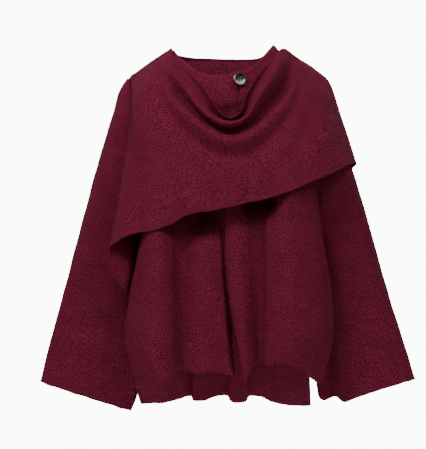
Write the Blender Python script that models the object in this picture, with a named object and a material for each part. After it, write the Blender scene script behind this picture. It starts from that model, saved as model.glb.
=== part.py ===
"""A scarf cardigan in heavy burgundy knit, filled out and hollow, as if worn.

Lengths in the tables are millimetres: +X is the wearer's left, -Y the front, +Z up.
The origin lies in the neck opening, level with the base of the neck.
"""
import bpy
import numpy as np
from mathutils import Vector
from mathutils.bvhtree import BVHTree
from mathutils.kdtree import KDTree

# ---------------------------------------------------------------- named sizes
WALL = 2.4            # heavy single knit
SEAM = 0.32           # room left between two sewn edges
BAND = 10.0           # height of the neck trim
HOLE_D = 2.4          # four thread holes in the button
HOLE_STEP = 5.2

KNIT_RGB = {
    "scarf": (0.118, 0.010, 0.024),
    "front_right": (0.100, 0.009, 0.022),
    "front_left": (0.100, 0.009, 0.022),
    "back": (0.085, 0.007, 0.018),
    "sleeve_right": (0.095, 0.008, 0.020),
    "sleeve_left": (0.095, 0.008, 0.020),
    "neck_band": (0.125, 0.012, 0.028),
}
HORN_RGB = (0.045, 0.036, 0.030)
# Pieces of one kind count as one where three meet at a corner.
KINDS = {
    "front_right": "body", "front_left": "body", "back": "body", "neck_band": "band",
    "sleeve_right": "sleeve", "sleeve_left": "sleeve", "scarf": "scarf",
}

# ---------------------------------------------------------------- neck opening
# Top edge of the neck trim, from the under end at centre front, over the
# wearer's right shoulder, round the back and down to the upper end.
NECK = [
    # x, y, z
    (48, -66, -13), (26, -77, -24), (-2, -83.5, -30), (-21, -85, -32), (-38, -82, -30),
    (-53, -75, -23), (-68, -62, -12), (-81, -44, -1), (-93, -21, 12), (-100, 5, 22),
    (-97, 25, 16), (-88, 40, 13), (-75, 51, 11), (-59, 58, 9), (-30, 64, 9),
    (-2, 66, 9), (27, 64, 9), (50, 58, 9), (66, 46, 12), (77, 27, 20),
    (88, 5, 31), (80, -25, 19), (71, -45, 8), (59, -62, -5), (48, -75, -14),
    (39, -82, -20), (30, -87, -25),
]
NECK_POINT_RIGHT = 9
NECK_POINT_LEFT = 20

# Shoulder seams of the body, from beside the neck point to the shoulder point.
SHOULDER_RIGHT = [(-126, 5, 4), (-143, 5, -6.5), (-163, 5, -22), (-182, 5, -39)]
SHOULDER_LEFT = [(109, 5, 14.5), (130, 5, 1), (156, 5, -16), (182, 5, -39)]

# Armhole of the wearer's left side; the other one is its mirror image.
# at: 0 shoulder point, 1, 2 and 3 the levels of the panels, 3 the underarm.
ARMHOLE_FRONT = [
    # at, x, y, z
    (0.0, 182, 5, -39), (0.45, 178, -22, -63), (1.0, 172, -39, -100), (1.5, 167, -50, -142),
    (2.0, 162, -56, -190), (2.4, 156, -49, -241), (2.75, 151, -25, -290), (3.0, 148, 0, -312),
]
ARMHOLE_BACK = [
    (0.0, 182, 5, -39), (0.45, 181, 29, -63), (1.0, 178, 46, -100), (1.5, 173, 59, -142),
    (2.0, 167, 65, -190), (2.4, 160, 57, -241), (2.75, 152, 29, -290), (3.0, 148, 0, -312),
]
SIDE_SEAM = [(3.0, 148, 0, -312), (4.0, 147, 0, -450)]
SLIT_FRONT = [
    (4.0, 147, 0, -450), (4.5, 160, -14, -488), (5.0, 175, -28, -530), (6.0, 156, -55, -631),
]
SLIT_FRONT_LEFT = [
    (4.0, 147, 0, -450), (4.5, 162, -12, -488), (5.0, 182, -26, -530), (6.0, 177, -54, -607),
]
SLIT_BACK = [
    (4.0, 147, 0, -450), (4.5, 152, 5, -488), (5.0, 156, 9, -530), (6.0, 161, 10, -651),
]
SLIT_BACK_RIGHT = [
    (4.0, 147, 0, -450), (4.5, 157, 5, -488), (5.0, 166, 9, -530), (6.0, 172, 11, -634),
]

LEVEL_Z = [None, -100, -190, -312, -450, -530, None]

# Folds of the front panels from centre front to side, one row a fold line.
# Columns: x, y at the yoke, chest, underarm, waist and low level, and x, y, z at the hem.
FRONT_RIGHT = [
    # yoke          chest         underarm      waist         low           hem
    ("edge",        (42, -94), (25, -105), (17, -98), (14, -93), (17, -92), (18, -92, -592)),
    ("flat",        (0, -102), (-15, -110), (-20, -104), (-20, -99), (-20, -99), (-15, -98, -582)),
    ("bulge",       (-30, -102), (-40, -112), (-45, -107), (-45, -104), (-44, -104), (-42, -103, -583)),
    ("fall",        (-54, -99), (-62, -110), (-66, -102), (-66, -97), (-64, -97), (-64, -96, -583)),
    ("recess",      (-77, -94), (-83, -107), (-84, -97), (-82, -90), (-81, -89), (-82, -88, -576)),
    ("fold in",     (-95, -88), (-98, -106), (-95, -105), (-93, -102), (-92, -102), (-92, -101, -579)),
    ("crest in",    (-110, -82), (-111, -105), (-104, -121), (-103, -125), (-101, -126), (-99, -123, -592)),
    ("crest",       (-127, -74), (-127, -101), (-124, -132), (-130, -138), (-128, -141), (-119, -136, -613)),
    ("crest out",   (-144, -64), (-143, -90), (-146, -117), (-160, -118), (-162, -120), (-140, -117, -622)),
    ("outer",       (-158, -54), (-154, -75), (-157, -74), (-181, -70), (-187, -74), (-153, -85, -629)),
    ("side",        None, None, None, None, None, None),
]
FRONT_LEFT = [
    ("edge",        (19, -104), (3, -114), (-2, -107), (8, -107), (21, -108), (34, -110, -600)),
    ("small crest", (29, -104), (15, -116), (16, -113), (23, -114), (33, -113), (42, -108, -589)),
    ("fall",        (42, -102), (34, -115), (38, -106), (43, -103), (46, -103), (51, -97, -571)),
    ("recess",      (56, -99), (51, -112), (55, -96), (58, -90), (58, -88), (60, -86, -563)),
    ("fold in",     (70, -95), (66, -112), (67, -101), (67, -97), (67, -96), (68, -92, -562)),
    ("crest in",    (85, -90), (81, -115), (78, -119), (77, -121), (76, -121), (75, -113, -569)),
    ("crest",       (107, -80), (108, -118), (113, -140), (115, -142), (117, -142), (112, -130, -566)),
    ("crest out",   (128, -69), (132, -106), (147, -124), (156, -124), (158, -124), (141, -114, -576)),
    ("outer",       (147, -59), (150, -88), (168, -98), (184, -92), (185, -92), (162, -90, -596)),
    ("turn",        (160, -50), (160, -71), (176, -67), (197, -54), (198, -58), (174, -68, -605)),
    ("side",        None, None, None, None, None, None),
]

# Soft pleats of the back from the wearer's right to the left.
# Columns: x at the chest, and x, y, z at the hem.
BACK = [
    ("side right", -167, (-172, 11, -634)), ("turn", -148, (-158, 38, -646)),
    ("panel", -126, (-122, 64, -651)), ("shallow", -103, (-98, 78, -647)),
    ("recess", -78, (-78, 92, -642)), ("pleat back", -62, (-66, 95, -641)),
    ("pleat edge", -58, (-62, 79, -648)), ("pleat", -38, (-42, 79, -648)),
    ("fall", -20, (-22, 96, -642)), ("recess", 4, (2, 100, -639)),
    ("box edge", 12, (10, 83, -650)), ("box", 26, (24, 79, -652)),
    ("box edge", 39, (39, 83, -650)), ("recess", 48, (45, 99, -641)),
    ("flat", 66, (66, 100, -641)), ("fall", 86, (86, 90, -650)),
    ("panel", 110, (109, 79, -655)), ("panel", 133, (131, 64, -656)),
    ("turn", 152, (150, 42, -655)), ("side left", 167, (160, 10, -653)),
]
BACK_LEVELS = [  # centre y, half width, side y
    (86, 176, 44), (102, 167, 66), (103, 148, 2), (100, 147, 2), (99, 156, 9), (98, 160, 10),
]
BACK_PLEATS = [0.0, 0.0, 0.12, 0.5, 0.78, 1.0]   # share of the hem's pleats at each level

# The inner edge of the left sleeve is creased and pushed back behind its front.
# Places run round the front half, from 0 at the outer edge to 1 at the inner one.
CREASE = 0.66
CREASE_DIP_AT = [0.0, 0.35, 0.66, 0.74, 0.86, 1.0]
CREASE_DIP = [0.0, 0.10, 0.40, 0.05, 0.25, 0.0]      # how far the rings dip there, as a share of tuck

# Sleeves, one row a ring. outer and inner are x, z of the two edges of the flat tube.
# y is its middle, front and back its half depths, tuck how far the inner edge is pushed back.
SLEEVE_RIGHT = [
    # outer          inner          y  front back tuck
    ((-204, -58), (-163, -324), 4, 52, 58, 0),
    ((-214, -98), (-169, -342), 5, 50, 58, 0),
    ((-234, -162), (-172, -369), 7, 46, 56, 0),
    ((-256, -240), (-173, -407), 10, 42, 52, 0),
    ((-280, -330), (-174, -453), 13, 37, 47, 0),
    ((-304, -420), (-175, -510), 17, 32, 41, 0),
    ((-327, -505), (-176, -570), 20, 28, 36, 0),
    ((-344, -566), (-178, -622), 22, 24, 32, 0),
    ((-354, -608), (-182, -663), 23, 22, 30, 0),
]
SLEEVE_LEFT = [
    ((191, -62), (163, -324), 4, 50, 58, 0),
    ((204, -100), (169, -342), 5, 48, 58, 0),
    ((225, -164), (172, -369), 7, 45, 56, 2),
    ((252, -242), (173, -407), 10, 42, 52, 5),
    ((278, -332), (174, -453), 13, 38, 47, 10),
    ((303, -421), (174, -508), 17, 34, 42, 16),
    ((330, -505), (174, -560), 20, 30, 38, 22),
    ((348, -563), (174, -601), 22, 28, 35, 26),
    ((361, -604), (178, -636), 23, 27, 34, 28),
]

# The scarf, one row a fold line running round the front from shoulder to shoulder.
# Columns run from the wearer's right shoulder to the crest of the left one.
SCARF = [
    ("neck edge", 0, [(-108, 4, 22.5), (-95, -36, 4), (-68, -75, -24), (-38, -102, -60), (-16, -114, -95),
                      (5, -121, -112), (26, -116, -100), (38, -107, -64), (67, -81, -21), (104, 5, 20.5)]),
    ("groove", 1, [(-115, 4, 17.5), (-102, -42, -7), (-75, -77, -33), (-43, -104, -72), (-21, -112, -104),
                   (6, -116, -116), (31, -113, -107), (46, -106, -69), (73, -82, -27), (111, 5, 21)]),
    ("roll", 2, [(-122, 4, 12), (-109, -47, -12), (-82, -87, -49), (-51, -113, -92), (-23, -129, -116),
                 (6, -139, -125), (36, -129, -113), (57, -113, -79), (83, -86, -38), (119, 5, 16.5)]),
    ("trough", 3, [(-131, 4, 6), (-119, -54, -26), (-90, -89, -66), (-58, -106, -99), (-27, -114, -124),
                   (8, -119, -138), (43, -114, -125), (72, -106, -99), (102, -84, -64), (128, 5, 10.5)]),
    ("swell", 4, [(-143, 4, -2), (-128, -60, -37), (-97, -97, -81), (-63, -118, -115), (-28, -131, -141),
                  (10, -138, -155), (50, -132, -140), (84, -117, -108), (116, -86, -66), (139, 5, 4)]),
    ("dip", 5, [(-156, 4, -11), (-139, -68, -51), (-105, -100, -100), (-67, -117, -136), (-28, -126, -166),
                (14, -131, -179), (57, -128, -165), (97, -116, -129), (132, -88, -79), (152, 5, -4)]),
    ("chest", 6, [(-170, 4, -22), (-152, -74, -74), (-114, -107, -132), (-71, -123, -170), (-30, -133, -194),
                  (16, -137, -205), (65, -134, -192), (110, -119, -157), (148, -89, -101), (173, 5, -16)]),
    ("shoulder", 7, [(-185, 4, -36), (-167, -80, -115), (-121, -112, -173), (-74, -128, -205), (-30, -136, -222),
                     (17, -139, -229), (73, -137, -216), (123, -121, -184), (168, -92, -131), (196, 7, -40)]),
    ("bust", 8, [(-176, -45, -92), (-167, -88, -170), (-126, -120, -223), (-78, -133, -238), (-32, -138, -245),
                 (17, -141, -248), (80, -140, -234), (136, -124, -207), (183, -93, -159), (215, 8, -91)]),
    ("low", 9, [(-188, -74, -198), (-173, -101, -258), (-131, -128, -271), (-80, -137, -264), (-32, -140, -264),
                (17, -142, -262), (87, -142, -246), (145, -125, -221), (194, -93, -185), (233, 8, -145)]),
    ("lower edge", 10, [(-216, -92, -351), (-176, -118, -328), (-118, -138, -315), (-67, -140, -290),
                        (-23, -142, -283), (21, -144, -273), (93, -145, -256), (152, -127, -232),
                        (202, -96, -211), (248, 8, -193)]),
]
# How far the scarf stands off the straight line between the two stations nearest each shoulder.
SHOULDER_SWELL = [(-1, -5, 2), (2, -12, 4)]
# The turned-back layer at the scarf's side, from its fold to the armhole and side seam.
# Each row: at (fold line), then five points from beside the fold to the sewn edge.
RETURN = [
    (8.0, [(-176, -43, -92)] * 5),
    (8.5, [(-183, -56, -141), (-181, -55, -142), (-178, -54, -143), (-174, -54, -143), (-170, -54, -143)]),
    (9.0, [(-190, -67, -201), (-186, -65, -205), (-179, -63, -207), (-172, -62, -208), (-164, -60, -208)]),
    (9.5, [(-203, -68, -281), (-199, -58, -292), (-188, -49, -300), (-175, -41, -302), (-161, -35, -296)]),
    (10.0, [(-217, -74, -373), (-212, -55, -398), (-200, -40, -417), (-185, -28, -435), (-160, -14, -441)]),
]
# The scarf's free end behind the wearer's left shoulder.
# Columns: inner edge, outer edge, share of a straight line across, as rows down the back.
TAIL = [
    ((104, 46, 6), (243, 48, -204), 0.12),
    ((99, 92, -44), (233, 80, -228), 0.45),
    ((94, 114, -120), (222, 92, -258), 0.85),
    ((92, 118, -195), (214, 96, -290), 1.0),
    ((90, 116, -262), (208, 94, -322), 1.0),
]
# The horn button of the upper front: half outline from the middle of its face to its back.
BUTTON_AT = (25.0, -43.0)     # x, z of its middle
BUTTON = [
    # radius, height
    (6.4, 1.2), (8.0, 1.8), (10.6, 2.2), (12.3, 1.7), (13.0, 0.5), (12.7, -0.9), (11.4, -1.8),
    (6.0, -2.2),
]


# ---------------------------------------------------------------- curves
def hermite(knots, values, at):
    """Smooth curve through the values, with gentle slopes that do not overshoot much."""
    k = np.asarray(knots, float)
    p = np.asarray(values, float).reshape(len(k), -1)
    step = np.diff(k)[:, None]
    slope = np.diff(p, axis=0) / step
    m = np.empty_like(p)
    m[0] = slope[0]
    m[-1] = slope[-1]
    m[1:-1] = (slope[:-1] * step[1:] + slope[1:] * step[:-1]) / (step[:-1] + step[1:])
    if len(k) > 2:
        m[0] = 1.5 * slope[0] - 0.5 * m[1]
        m[-1] = 1.5 * slope[-1] - 0.5 * m[-2]
    t = np.clip(np.asarray(at, float), k[0], k[-1])
    i = np.clip(np.searchsorted(k, t, side="right") - 1, 0, len(k) - 2)
    h = (k[i + 1] - k[i])[:, None]
    s = ((t - k[i])[:, None]) / h
    a = 2 * s**3 - 3 * s**2 + 1
    b = s**3 - 2 * s**2 + s
    return a * p[i] + b * h * m[i] + (1 - a) * p[i + 1] + (s**3 - s**2) * h * m[i + 1]


def parts_of(counts):
    """Sample places 0, ..., len(counts), with that many steps in each interval."""
    out = [np.array([0.0])]
    for i, n in enumerate(counts):
        out.append(i + np.arange(1, n + 1) / n)
    return np.concatenate(out)


def along(points, n):
    """n + 1 points evenly spaced along a smooth curve through the points."""
    p = np.asarray(points, float)
    d = np.concatenate([[0], np.cumsum(np.linalg.norm(np.diff(p, axis=0), axis=1))])
    return hermite(d, p, np.linspace(0, d[-1], n + 1))


def curve_at(rows, at, sign=1):
    r = np.array(rows, float)
    p = hermite(r[:, 0], r[:, 1:], at)
    p[:, 0] *= sign
    return p


# ---------------------------------------------------------------- neck ring
def neck_ring(at):
    """Top and bottom edge of the neck trim; at counts the rows of NECK."""
    p = np.array(NECK, float)
    top = hermite(np.arange(len(p)), p, at)
    flat = top[:, :2] - np.array([-4.0, -5.0])
    side = flat / np.linalg.norm(flat, axis=1)[:, None]
    lean = 0.36 + 0.38 * side[:, 0:1] ** 4
    down = -np.sqrt(1 - lean**2)
    return top, top + BAND * np.hstack([side * lean, down])


def shoulder_line(neck_at, rows, n):
    return along([neck_ring([neck_at])[1][0]] + list(rows), n)


def neck_line(start, stop, n):
    return neck_ring(np.linspace(start, stop, n + 1))[1]


# ---------------------------------------------------------------- panels
def side_column(kind, sign, v):
    """Armhole, side seam and slit edge at the places v, from 0 at the shoulder to 6 at the hem."""
    hole = ARMHOLE_BACK if kind == "back" else ARMHOLE_FRONT
    back_slit = SLIT_BACK if sign > 0 else SLIT_BACK_RIGHT
    slit = {"back": back_slit, "front_right": SLIT_FRONT, "front_left": SLIT_FRONT_LEFT}[kind]
    out = np.empty((len(v), 3))
    for i, at in enumerate(v):
        rows = hole if at <= 3 else SIDE_SEAM if at <= 4 else slit
        out[i] = curve_at(rows, [at], sign)[0]
    return out


ROUND = 0.12          # how full the shoulder is between its seam and the yoke level


def surface(columns, top, sides, u, v):
    """Fold lines across and levels down; top and sides replace the outer rows exactly."""
    cols = []
    for c in np.array(columns, float):
        fall = c[1] - c[0]
        half_way = c[0] + fall * (0.5, 0.5 + ROUND, 0.5 - ROUND)
        knots = np.insert(np.arange(7.0), 1, 0.5)
        cols.append(hermite(knots, np.insert(c, 1, half_way, axis=0), v))
    cols = np.array(cols)
    for i, side in sides.items():
        cols[i] = side
    p = np.stack([hermite(np.arange(len(columns)), cols[:, j], u) for j in range(len(v))], axis=1)
    blend = np.clip(1 - v, 0, 1)[None, :, None] ** 2
    return p + (top - p[:, 0])[:, None, :] * blend


def front_panel(table, kind, sign, neck_from, neck_to, shoulder, neck_cols, per_u, per_v):
    u, v = parts_of([per_u] * (len(table) - 1)), parts_of(per_v)
    n_neck = neck_cols * per_u
    n_shoulder = len(u) - 1 - n_neck
    top = np.vstack([neck_line(neck_from, neck_to, n_neck), shoulder_line(neck_to, shoulder, n_shoulder)[1:]])
    columns = []
    for i, row in enumerate(table[:-1]):
        pts = [top[i * per_u]]
        pts += [(x, y, z) for (x, y), z in zip(row[1:6], LEVEL_Z[1:6])]
        columns.append(pts + [row[6]])
    columns.append(np.zeros((7, 3)))
    side = side_column(kind, sign, v)
    return surface(columns, top, {len(table) - 1: side}, u, v)


def back_panel(per_u, per_v):
    u, v = parts_of([per_u] * (len(BACK) - 1)), parts_of(per_v)
    k = per_u
    top = np.vstack([
        shoulder_line(NECK_POINT_RIGHT, SHOULDER_RIGHT, 4 * k)[::-1],
        neck_line(NECK_POINT_RIGHT, NECK_POINT_LEFT, 11 * k)[1:],
        shoulder_line(NECK_POINT_LEFT, SHOULDER_LEFT, 4 * k)[1:],
    ])
    columns = []
    for i, (_, x_chest, hem) in enumerate(BACK):
        pts = [top[i * k]]
        for level in range(1, 6):
            mid, half, edge = BACK_LEVELS[level - 1]
            share = BACK_PLEATS[level - 1]
            x = x_chest / 167 * half * (1 - share) + hem[0] * share
            s = min(abs(x) / half, 1)
            round_y = edge + (mid - edge) * (1 - s**3.2) ** 0.75
            pts.append((x, round_y * (1 - share) + hem[1] * share, LEVEL_Z[level]))
        columns.append(pts + [hem])
    sides = {0: side_column("back", -1, v), len(BACK) - 1: side_column("back", 1, v)}
    return surface(columns, top, sides, u, v)


# ---------------------------------------------------------------- sleeves
def sleeve(table, sign, per_v, per_ring):
    """Rings from the armhole to the cuff; the first ring is the armhole itself."""
    v = parts_of(per_v[:3])
    front = side_column("front_left", sign, v)
    back = side_column("back", sign, v)
    ring0 = np.vstack([front, back[-2:0:-1]])
    n = len(v) - 1
    d = np.concatenate([[0], np.cumsum(np.linalg.norm(np.diff(front, axis=0), axis=1))])
    turn_f = np.pi * d / d[-1]
    d = np.concatenate([[0], np.cumsum(np.linalg.norm(np.diff(back, axis=0), axis=1))])
    turn_b = np.pi * d / d[-1]
    rings = [ring0]
    for outer, inner, y, fore, aft, tuck in table:
        o = np.array([outer[0], y, outer[1]], float)
        i = np.array([inner[0], y, inner[1]], float)
        middle, half = (o + i) / 2, (o - i) / 2
        ring = []
        for t, depth in [(t, -fore) for t in turn_f] + [(t, aft) for t in turn_b[-2:0:-1]]:
            point = middle + half * np.sign(np.cos(t)) * abs(np.cos(t)) ** 0.9
            point[1] += depth * np.sin(t) ** 0.8
            inward = np.clip((t / np.pi - CREASE) / 0.14, 0, 1)
            point[1] += tuck * inward * inward * (3 - 2 * inward)
            dip = np.interp(t / np.pi, CREASE_DIP_AT, CREASE_DIP)
            point[2] -= tuck * dip * (depth < 0)
            ring.append(point)
        rings.append(np.array(ring))
    rings = np.array(rings)
    where = parts_of([per_ring] * (len(rings) - 1))
    p = np.stack([hermite(np.arange(len(rings)), rings[:, j], where) for j in range(rings.shape[1])], axis=0)
    return p


# ---------------------------------------------------------------- scarf
def scarf(per_u, per_v):
    """Main layer with the cowl, the tail behind it, and the turned-back layer at the side."""
    at = np.array([row[1] for row in SCARF], float)
    grid = np.array([row[2] for row in SCARF], float)
    v = parts_of(per_v)
    rows = np.array([hermite(at, grid[:, k], v) for k in range(grid.shape[1])])
    first = (rows[0] + rows[1]) / 2 + np.array(SHOULDER_SWELL[0])
    last = rows[-2] * 0.42 + rows[-1] * 0.58 + np.array(SHOULDER_SWELL[1])
    rows = np.concatenate([rows[:1], first[None], rows[1:-1], last[None], rows[-1:]])
    crest = rows[-1]
    length = np.concatenate([[0], np.cumsum(np.linalg.norm(np.diff(crest, axis=0), axis=1))])
    share = (length / length[-1])[:, None]
    tail = []
    for inner, outer, straight in TAIL:
        a, b = np.array(inner, float), np.array(outer, float)
        line = a + (b - a) * share
        bent = crest + (a - crest[0]) * (1 - share) + (b - crest[-1]) * share
        tail.append(line * straight + bent * (1 - straight))
    rows = np.concatenate([rows, np.array(tail)])
    u = parts_of([per_u] * (len(rows) - 1))
    main = np.stack([hermite(np.arange(len(rows)), rows[:, j], u) for j in range(len(v))], axis=1)
    r_at = np.array([row[0] for row in RETURN])
    r_grid = np.array([row[1] for row in RETURN], float)
    low = np.flatnonzero(v >= 8 - 1e-9)
    back = np.array([hermite(r_at, r_grid[:, k], v[low]) for k in range(5)])
    back[:, 0] = main[0, low[0]]
    fold = np.concatenate([main[:1, low], back])
    r_u = parts_of([1] * 5)
    turned = np.stack([hermite(np.arange(6), fold[:, j], r_u) for j in range(len(low))], axis=1)
    turned[:, 0] = main[0, low[0]]
    return main, turned, low


# ---------------------------------------------------------------- cloth with a wall
def quads_of(n, m, wrap=False):
    out = []
    for i in range(n if wrap else n - 1):
        for j in range(m - 1):
            k = (i + 1) % n
            out.append((i * m + j, k * m + j, k * m + j + 1, i * m + j + 1))
    return out


class Cloth:
    """Mid-surface of one piece: points, and faces whose front is the outer side."""

    def __init__(self, name, points, faces):
        self.name = name
        self.kind = KINDS[name]
        keep, self.points = {}, []
        index = []
        for p in np.asarray(points, float):
            key = tuple(np.round(p, 3))
            if key not in keep:
                keep[key] = len(self.points)
                self.points.append(p)
            index.append(keep[key])
        self.points = np.array(self.points)
        self.faces = []
        for f in faces:
            loop = []
            for i in f:
                if index[i] not in loop:
                    loop.append(index[i])
            if len(loop) == 3:
                self.faces.append(loop)
            if len(loop) == 4:
                self.faces += self.halves(loop)
        self.normals = np.zeros_like(self.points)
        for f in self.faces:
            a = self.points[f]
            area = np.zeros(3)
            for i in range(1, len(f) - 1):
                area += np.cross(a[i] - a[0], a[i + 1] - a[0])
            for i in f:
                self.normals[i] += area
        self.normals /= np.linalg.norm(self.normals, axis=1)[:, None]

    def halves(self, loop):
        """A four-sided face as two triangles, cut along its shorter diagonal."""
        a, b, c, d = loop
        p = self.points
        if np.linalg.norm(p[a] - p[c]) <= np.linalg.norm(p[b] - p[d]) + 1e-6:
            return [[a, b, c], [a, c, d]]
        return [[b, c, d], [b, d, a]]

    def rim(self):
        """Edges that only one face uses, in that face's direction."""
        seen = {}
        for f in self.faces:
            for a, b in zip(f, f[1:] + f[:1]):
                key = (min(a, b), max(a, b))
                seen.setdefault(key, []).append((a, b))
        return [e[0] for e in seen.values() if len(e) == 1]

    def draw_back(self, sewn, room):
        """Moves the sewn edge inward, along the cloth, by room."""
        pull = {}
        for a, b in self.rim():
            if a in sewn and b in sewn:
                edge = self.points[b] - self.points[a]
                for i in (a, b):
                    inward = np.cross(self.normals[i], edge)
                    inward /= np.linalg.norm(inward)
                    pull.setdefault(i, []).append(inward)
        for i, ways in pull.items():
            total = np.sum(ways, axis=0)
            reach = 1 + (np.dot(ways[0], ways[1]) if len(ways) > 1 else 0)
            self.points[i] = self.points[i] + room * total / max(reach, 0.5)

    def solid(self, wall):
        """Closed mesh of the cloth, half its wall on either side of the mid-surface."""
        n = len(self.points)
        points = np.vstack([self.points + self.normals * wall / 2, self.points - self.normals * wall / 2])
        faces = [tuple(f) for f in self.faces]
        faces += [tuple(i + n for i in reversed(f)) for f in self.faces]
        for a, b in self.rim():
            drop = self.points[a] - self.points[b]
            way = drop[2] if abs(drop[2]) > 1 else drop[1] if abs(drop[1]) > 1 else drop[0]
            faces += [(b, a, a + n), (b, a + n, b + n)] if way > 0 else [(b, a, b + n), (a, a + n, b + n)]
        return points, faces


def sew(cloths):
    """Pieces that share a seam get one wall direction there and are drawn apart."""
    everything = [(c, i) for c in cloths for i in range(len(c.points))]
    tree = KDTree(len(everything))
    for k, (c, i) in enumerate(everything):
        tree.insert(c.points[i], k)
    tree.balance()
    sewn = {c.name: set() for c in cloths}
    agreed = []
    for k, (c, i) in enumerate(everything):
        group = [everything[hit[1]] for hit in tree.find_range(c.points[i], 0.02)]
        if len({other.name for other, _ in group}) < 2:
            continue
        kinds = {}
        for other, n in group:
            kinds.setdefault(other.kind, []).append(other.normals[n])
        total = np.sum([np.mean(normals, axis=0) for normals in kinds.values()], axis=0)
        agreed.append((c, i, total / np.linalg.norm(total)))
    for c, i, normal in agreed:
        c.normals[i] = normal
        sewn[c.name].add(i)
    for c in cloths:
        c.draw_back(sewn[c.name], SEAM / 2)


def lay_over(points, below, room, rounds=8):
    """Moves the points of a cloth out until they clear the outer side of the cloths below."""
    trees = [BVHTree.FromPolygons([tuple(p) for p in c.points], c.faces) for c in below]
    points = points.copy()
    for _ in range(rounds):
        for i, p in enumerate(points):
            for tree in trees:
                near, normal, _, gap = tree.find_nearest(tuple(p), 25.0)
                if near is None:
                    continue
                out = np.array(normal)
                height = np.dot(p - np.array(near), out)
                if height < room and abs(height) > 0.85 * gap:
                    p = p + out * (room - height) * 0.7
            points[i] = p
    return points


def material(name, rgb, rough, sheen):
    mat = bpy.data.materials.new(name)
    mat.use_nodes = True
    shader = mat.node_tree.nodes["Principled BSDF"]
    shader.inputs["Base Color"].default_value = (*rgb, 1)
    shader.inputs["Roughness"].default_value = rough
    shader.inputs["Sheen Weight"].default_value = sheen
    return mat


def mesh_object(name, points, faces, mat):
    mesh = bpy.data.meshes.new(name)
    mesh.from_pydata([tuple(p / 1000) for p in points], [], faces)
    mesh.materials.append(mat)
    obj = bpy.data.objects.new(name, mesh)
    bpy.context.scene.collection.objects.link(obj)
    return obj


# ---------------------------------------------------------------- button
def lathe(outline, count):
    """Closed solid turned about Z from an outline of radius and height."""
    turns = [2 * np.pi * i / count for i in range(count)]
    points = [(r * np.cos(t), r * np.sin(t), z) for r, z in outline for t in turns]
    faces = []
    for k in range(len(outline) - 1):
        for i in range(count):
            j = (i + 1) % count
            a, b = k * count, (k + 1) * count
            faces.append((b + i, b + j, a + j, a + i))
    faces.append(tuple(range(count)))
    faces.append(tuple(reversed(range((len(outline) - 1) * count, len(outline) * count))))
    return points, faces


def seat(below, at):
    """Middle and facing of the button: half way between the cloth's slope and straight ahead."""
    start = (at[0], -400.0, at[1])
    hits = [BVHTree.FromPolygons([tuple(p) for p in c.points], c.faces).ray_cast(start, (0, 1, 0)) for c in below]
    point, normal = min((h[:2] for h in hits if h[0] is not None), key=lambda h: h[0].y)
    slope = np.array(normal) * -np.sign(normal.y)
    facing = slope / np.linalg.norm(slope) + np.array([0.0, -1.0, 0.0])
    facing /= np.linalg.norm(facing)
    middle = np.array(point)
    height = 0
    for c in below:
        outer = c.points + c.normals * WALL / 2 - middle
        along_axis = outer @ facing
        beside = np.linalg.norm(outer - np.outer(along_axis, facing), axis=1)
        near = beside < BUTTON[4][0] + 6
        if near.any():
            height = max(height, along_axis[near].max())
    return middle + facing * (height + 0.3 - BUTTON[-1][1]), facing


def button(below):
    middle, facing = seat(below, BUTTON_AT)
    place = Vector(facing).to_track_quat("Z", "Y").to_matrix().to_4x4()
    place.translation = Vector(middle)

    def moved(points):
        return [np.array(place @ Vector(p)) for p in points]

    horn = material("horn_button", HORN_RGB, 0.35, 0.0)
    disc = mesh_object("button", *[f(x) for f, x in zip((moved, list), lathe(BUTTON, 40))], horn)
    pin, pin_faces = lathe([(HOLE_D / 2, 5.0), (HOLE_D / 2, -5.0)], 16)
    points, faces = [], []
    for x in (-HOLE_STEP / 2, HOLE_STEP / 2):
        for y in (-HOLE_STEP / 2, HOLE_STEP / 2):
            faces += [tuple(i + len(points) for i in f) for f in pin_faces]
            points += [(px + x, py + y, pz) for px, py, pz in pin]
    holes = mesh_object("holes", moved(points), faces, horn)
    cut = disc.modifiers.new("holes", "BOOLEAN")
    cut.operation = "DIFFERENCE"
    cut.solver = "EXACT"
    cut.object = holes
    mesh = bpy.data.meshes.new_from_object(disc.evaluated_get(bpy.context.evaluated_depsgraph_get()))
    disc.modifiers.remove(cut)
    disc.data = mesh
    bpy.data.objects.remove(holes)


# ---------------------------------------------------------------- build
for old in list(bpy.data.objects):
    bpy.data.objects.remove(old)

PER_V = [3, 3, 4, 4, 3, 4]
PER_U = 2
FRONT_RIGHT_NECK = 6
FRONT_LEFT_NECK = 6

right = front_panel(
    FRONT_RIGHT, "front_right", -1, 0, NECK_POINT_RIGHT, SHOULDER_RIGHT, FRONT_RIGHT_NECK, PER_U, PER_V)
left = front_panel(
    FRONT_LEFT, "front_left", 1, 26, NECK_POINT_LEFT, SHOULDER_LEFT, FRONT_LEFT_NECK, PER_U, PER_V)
behind = back_panel(PER_U, PER_V)


def grid_cloth(name, p, flip=False, wrap=False):
    faces = quads_of(p.shape[0], p.shape[1], wrap)
    if flip:
        faces = [f[::-1] for f in faces]
    return Cloth(name, p.reshape(-1, 3), faces)


neck_at = np.concatenate([
    np.linspace(0, NECK_POINT_RIGHT, FRONT_RIGHT_NECK * PER_U + 1),
    np.linspace(NECK_POINT_RIGHT, NECK_POINT_LEFT, 11 * PER_U + 1)[1:],
    np.linspace(NECK_POINT_LEFT, 26, FRONT_LEFT_NECK * PER_U + 1)[1:],
])
band_top, band_bottom = neck_ring(neck_at)
band = np.stack([band_top, (band_top + band_bottom) / 2, band_bottom], axis=1)

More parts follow.
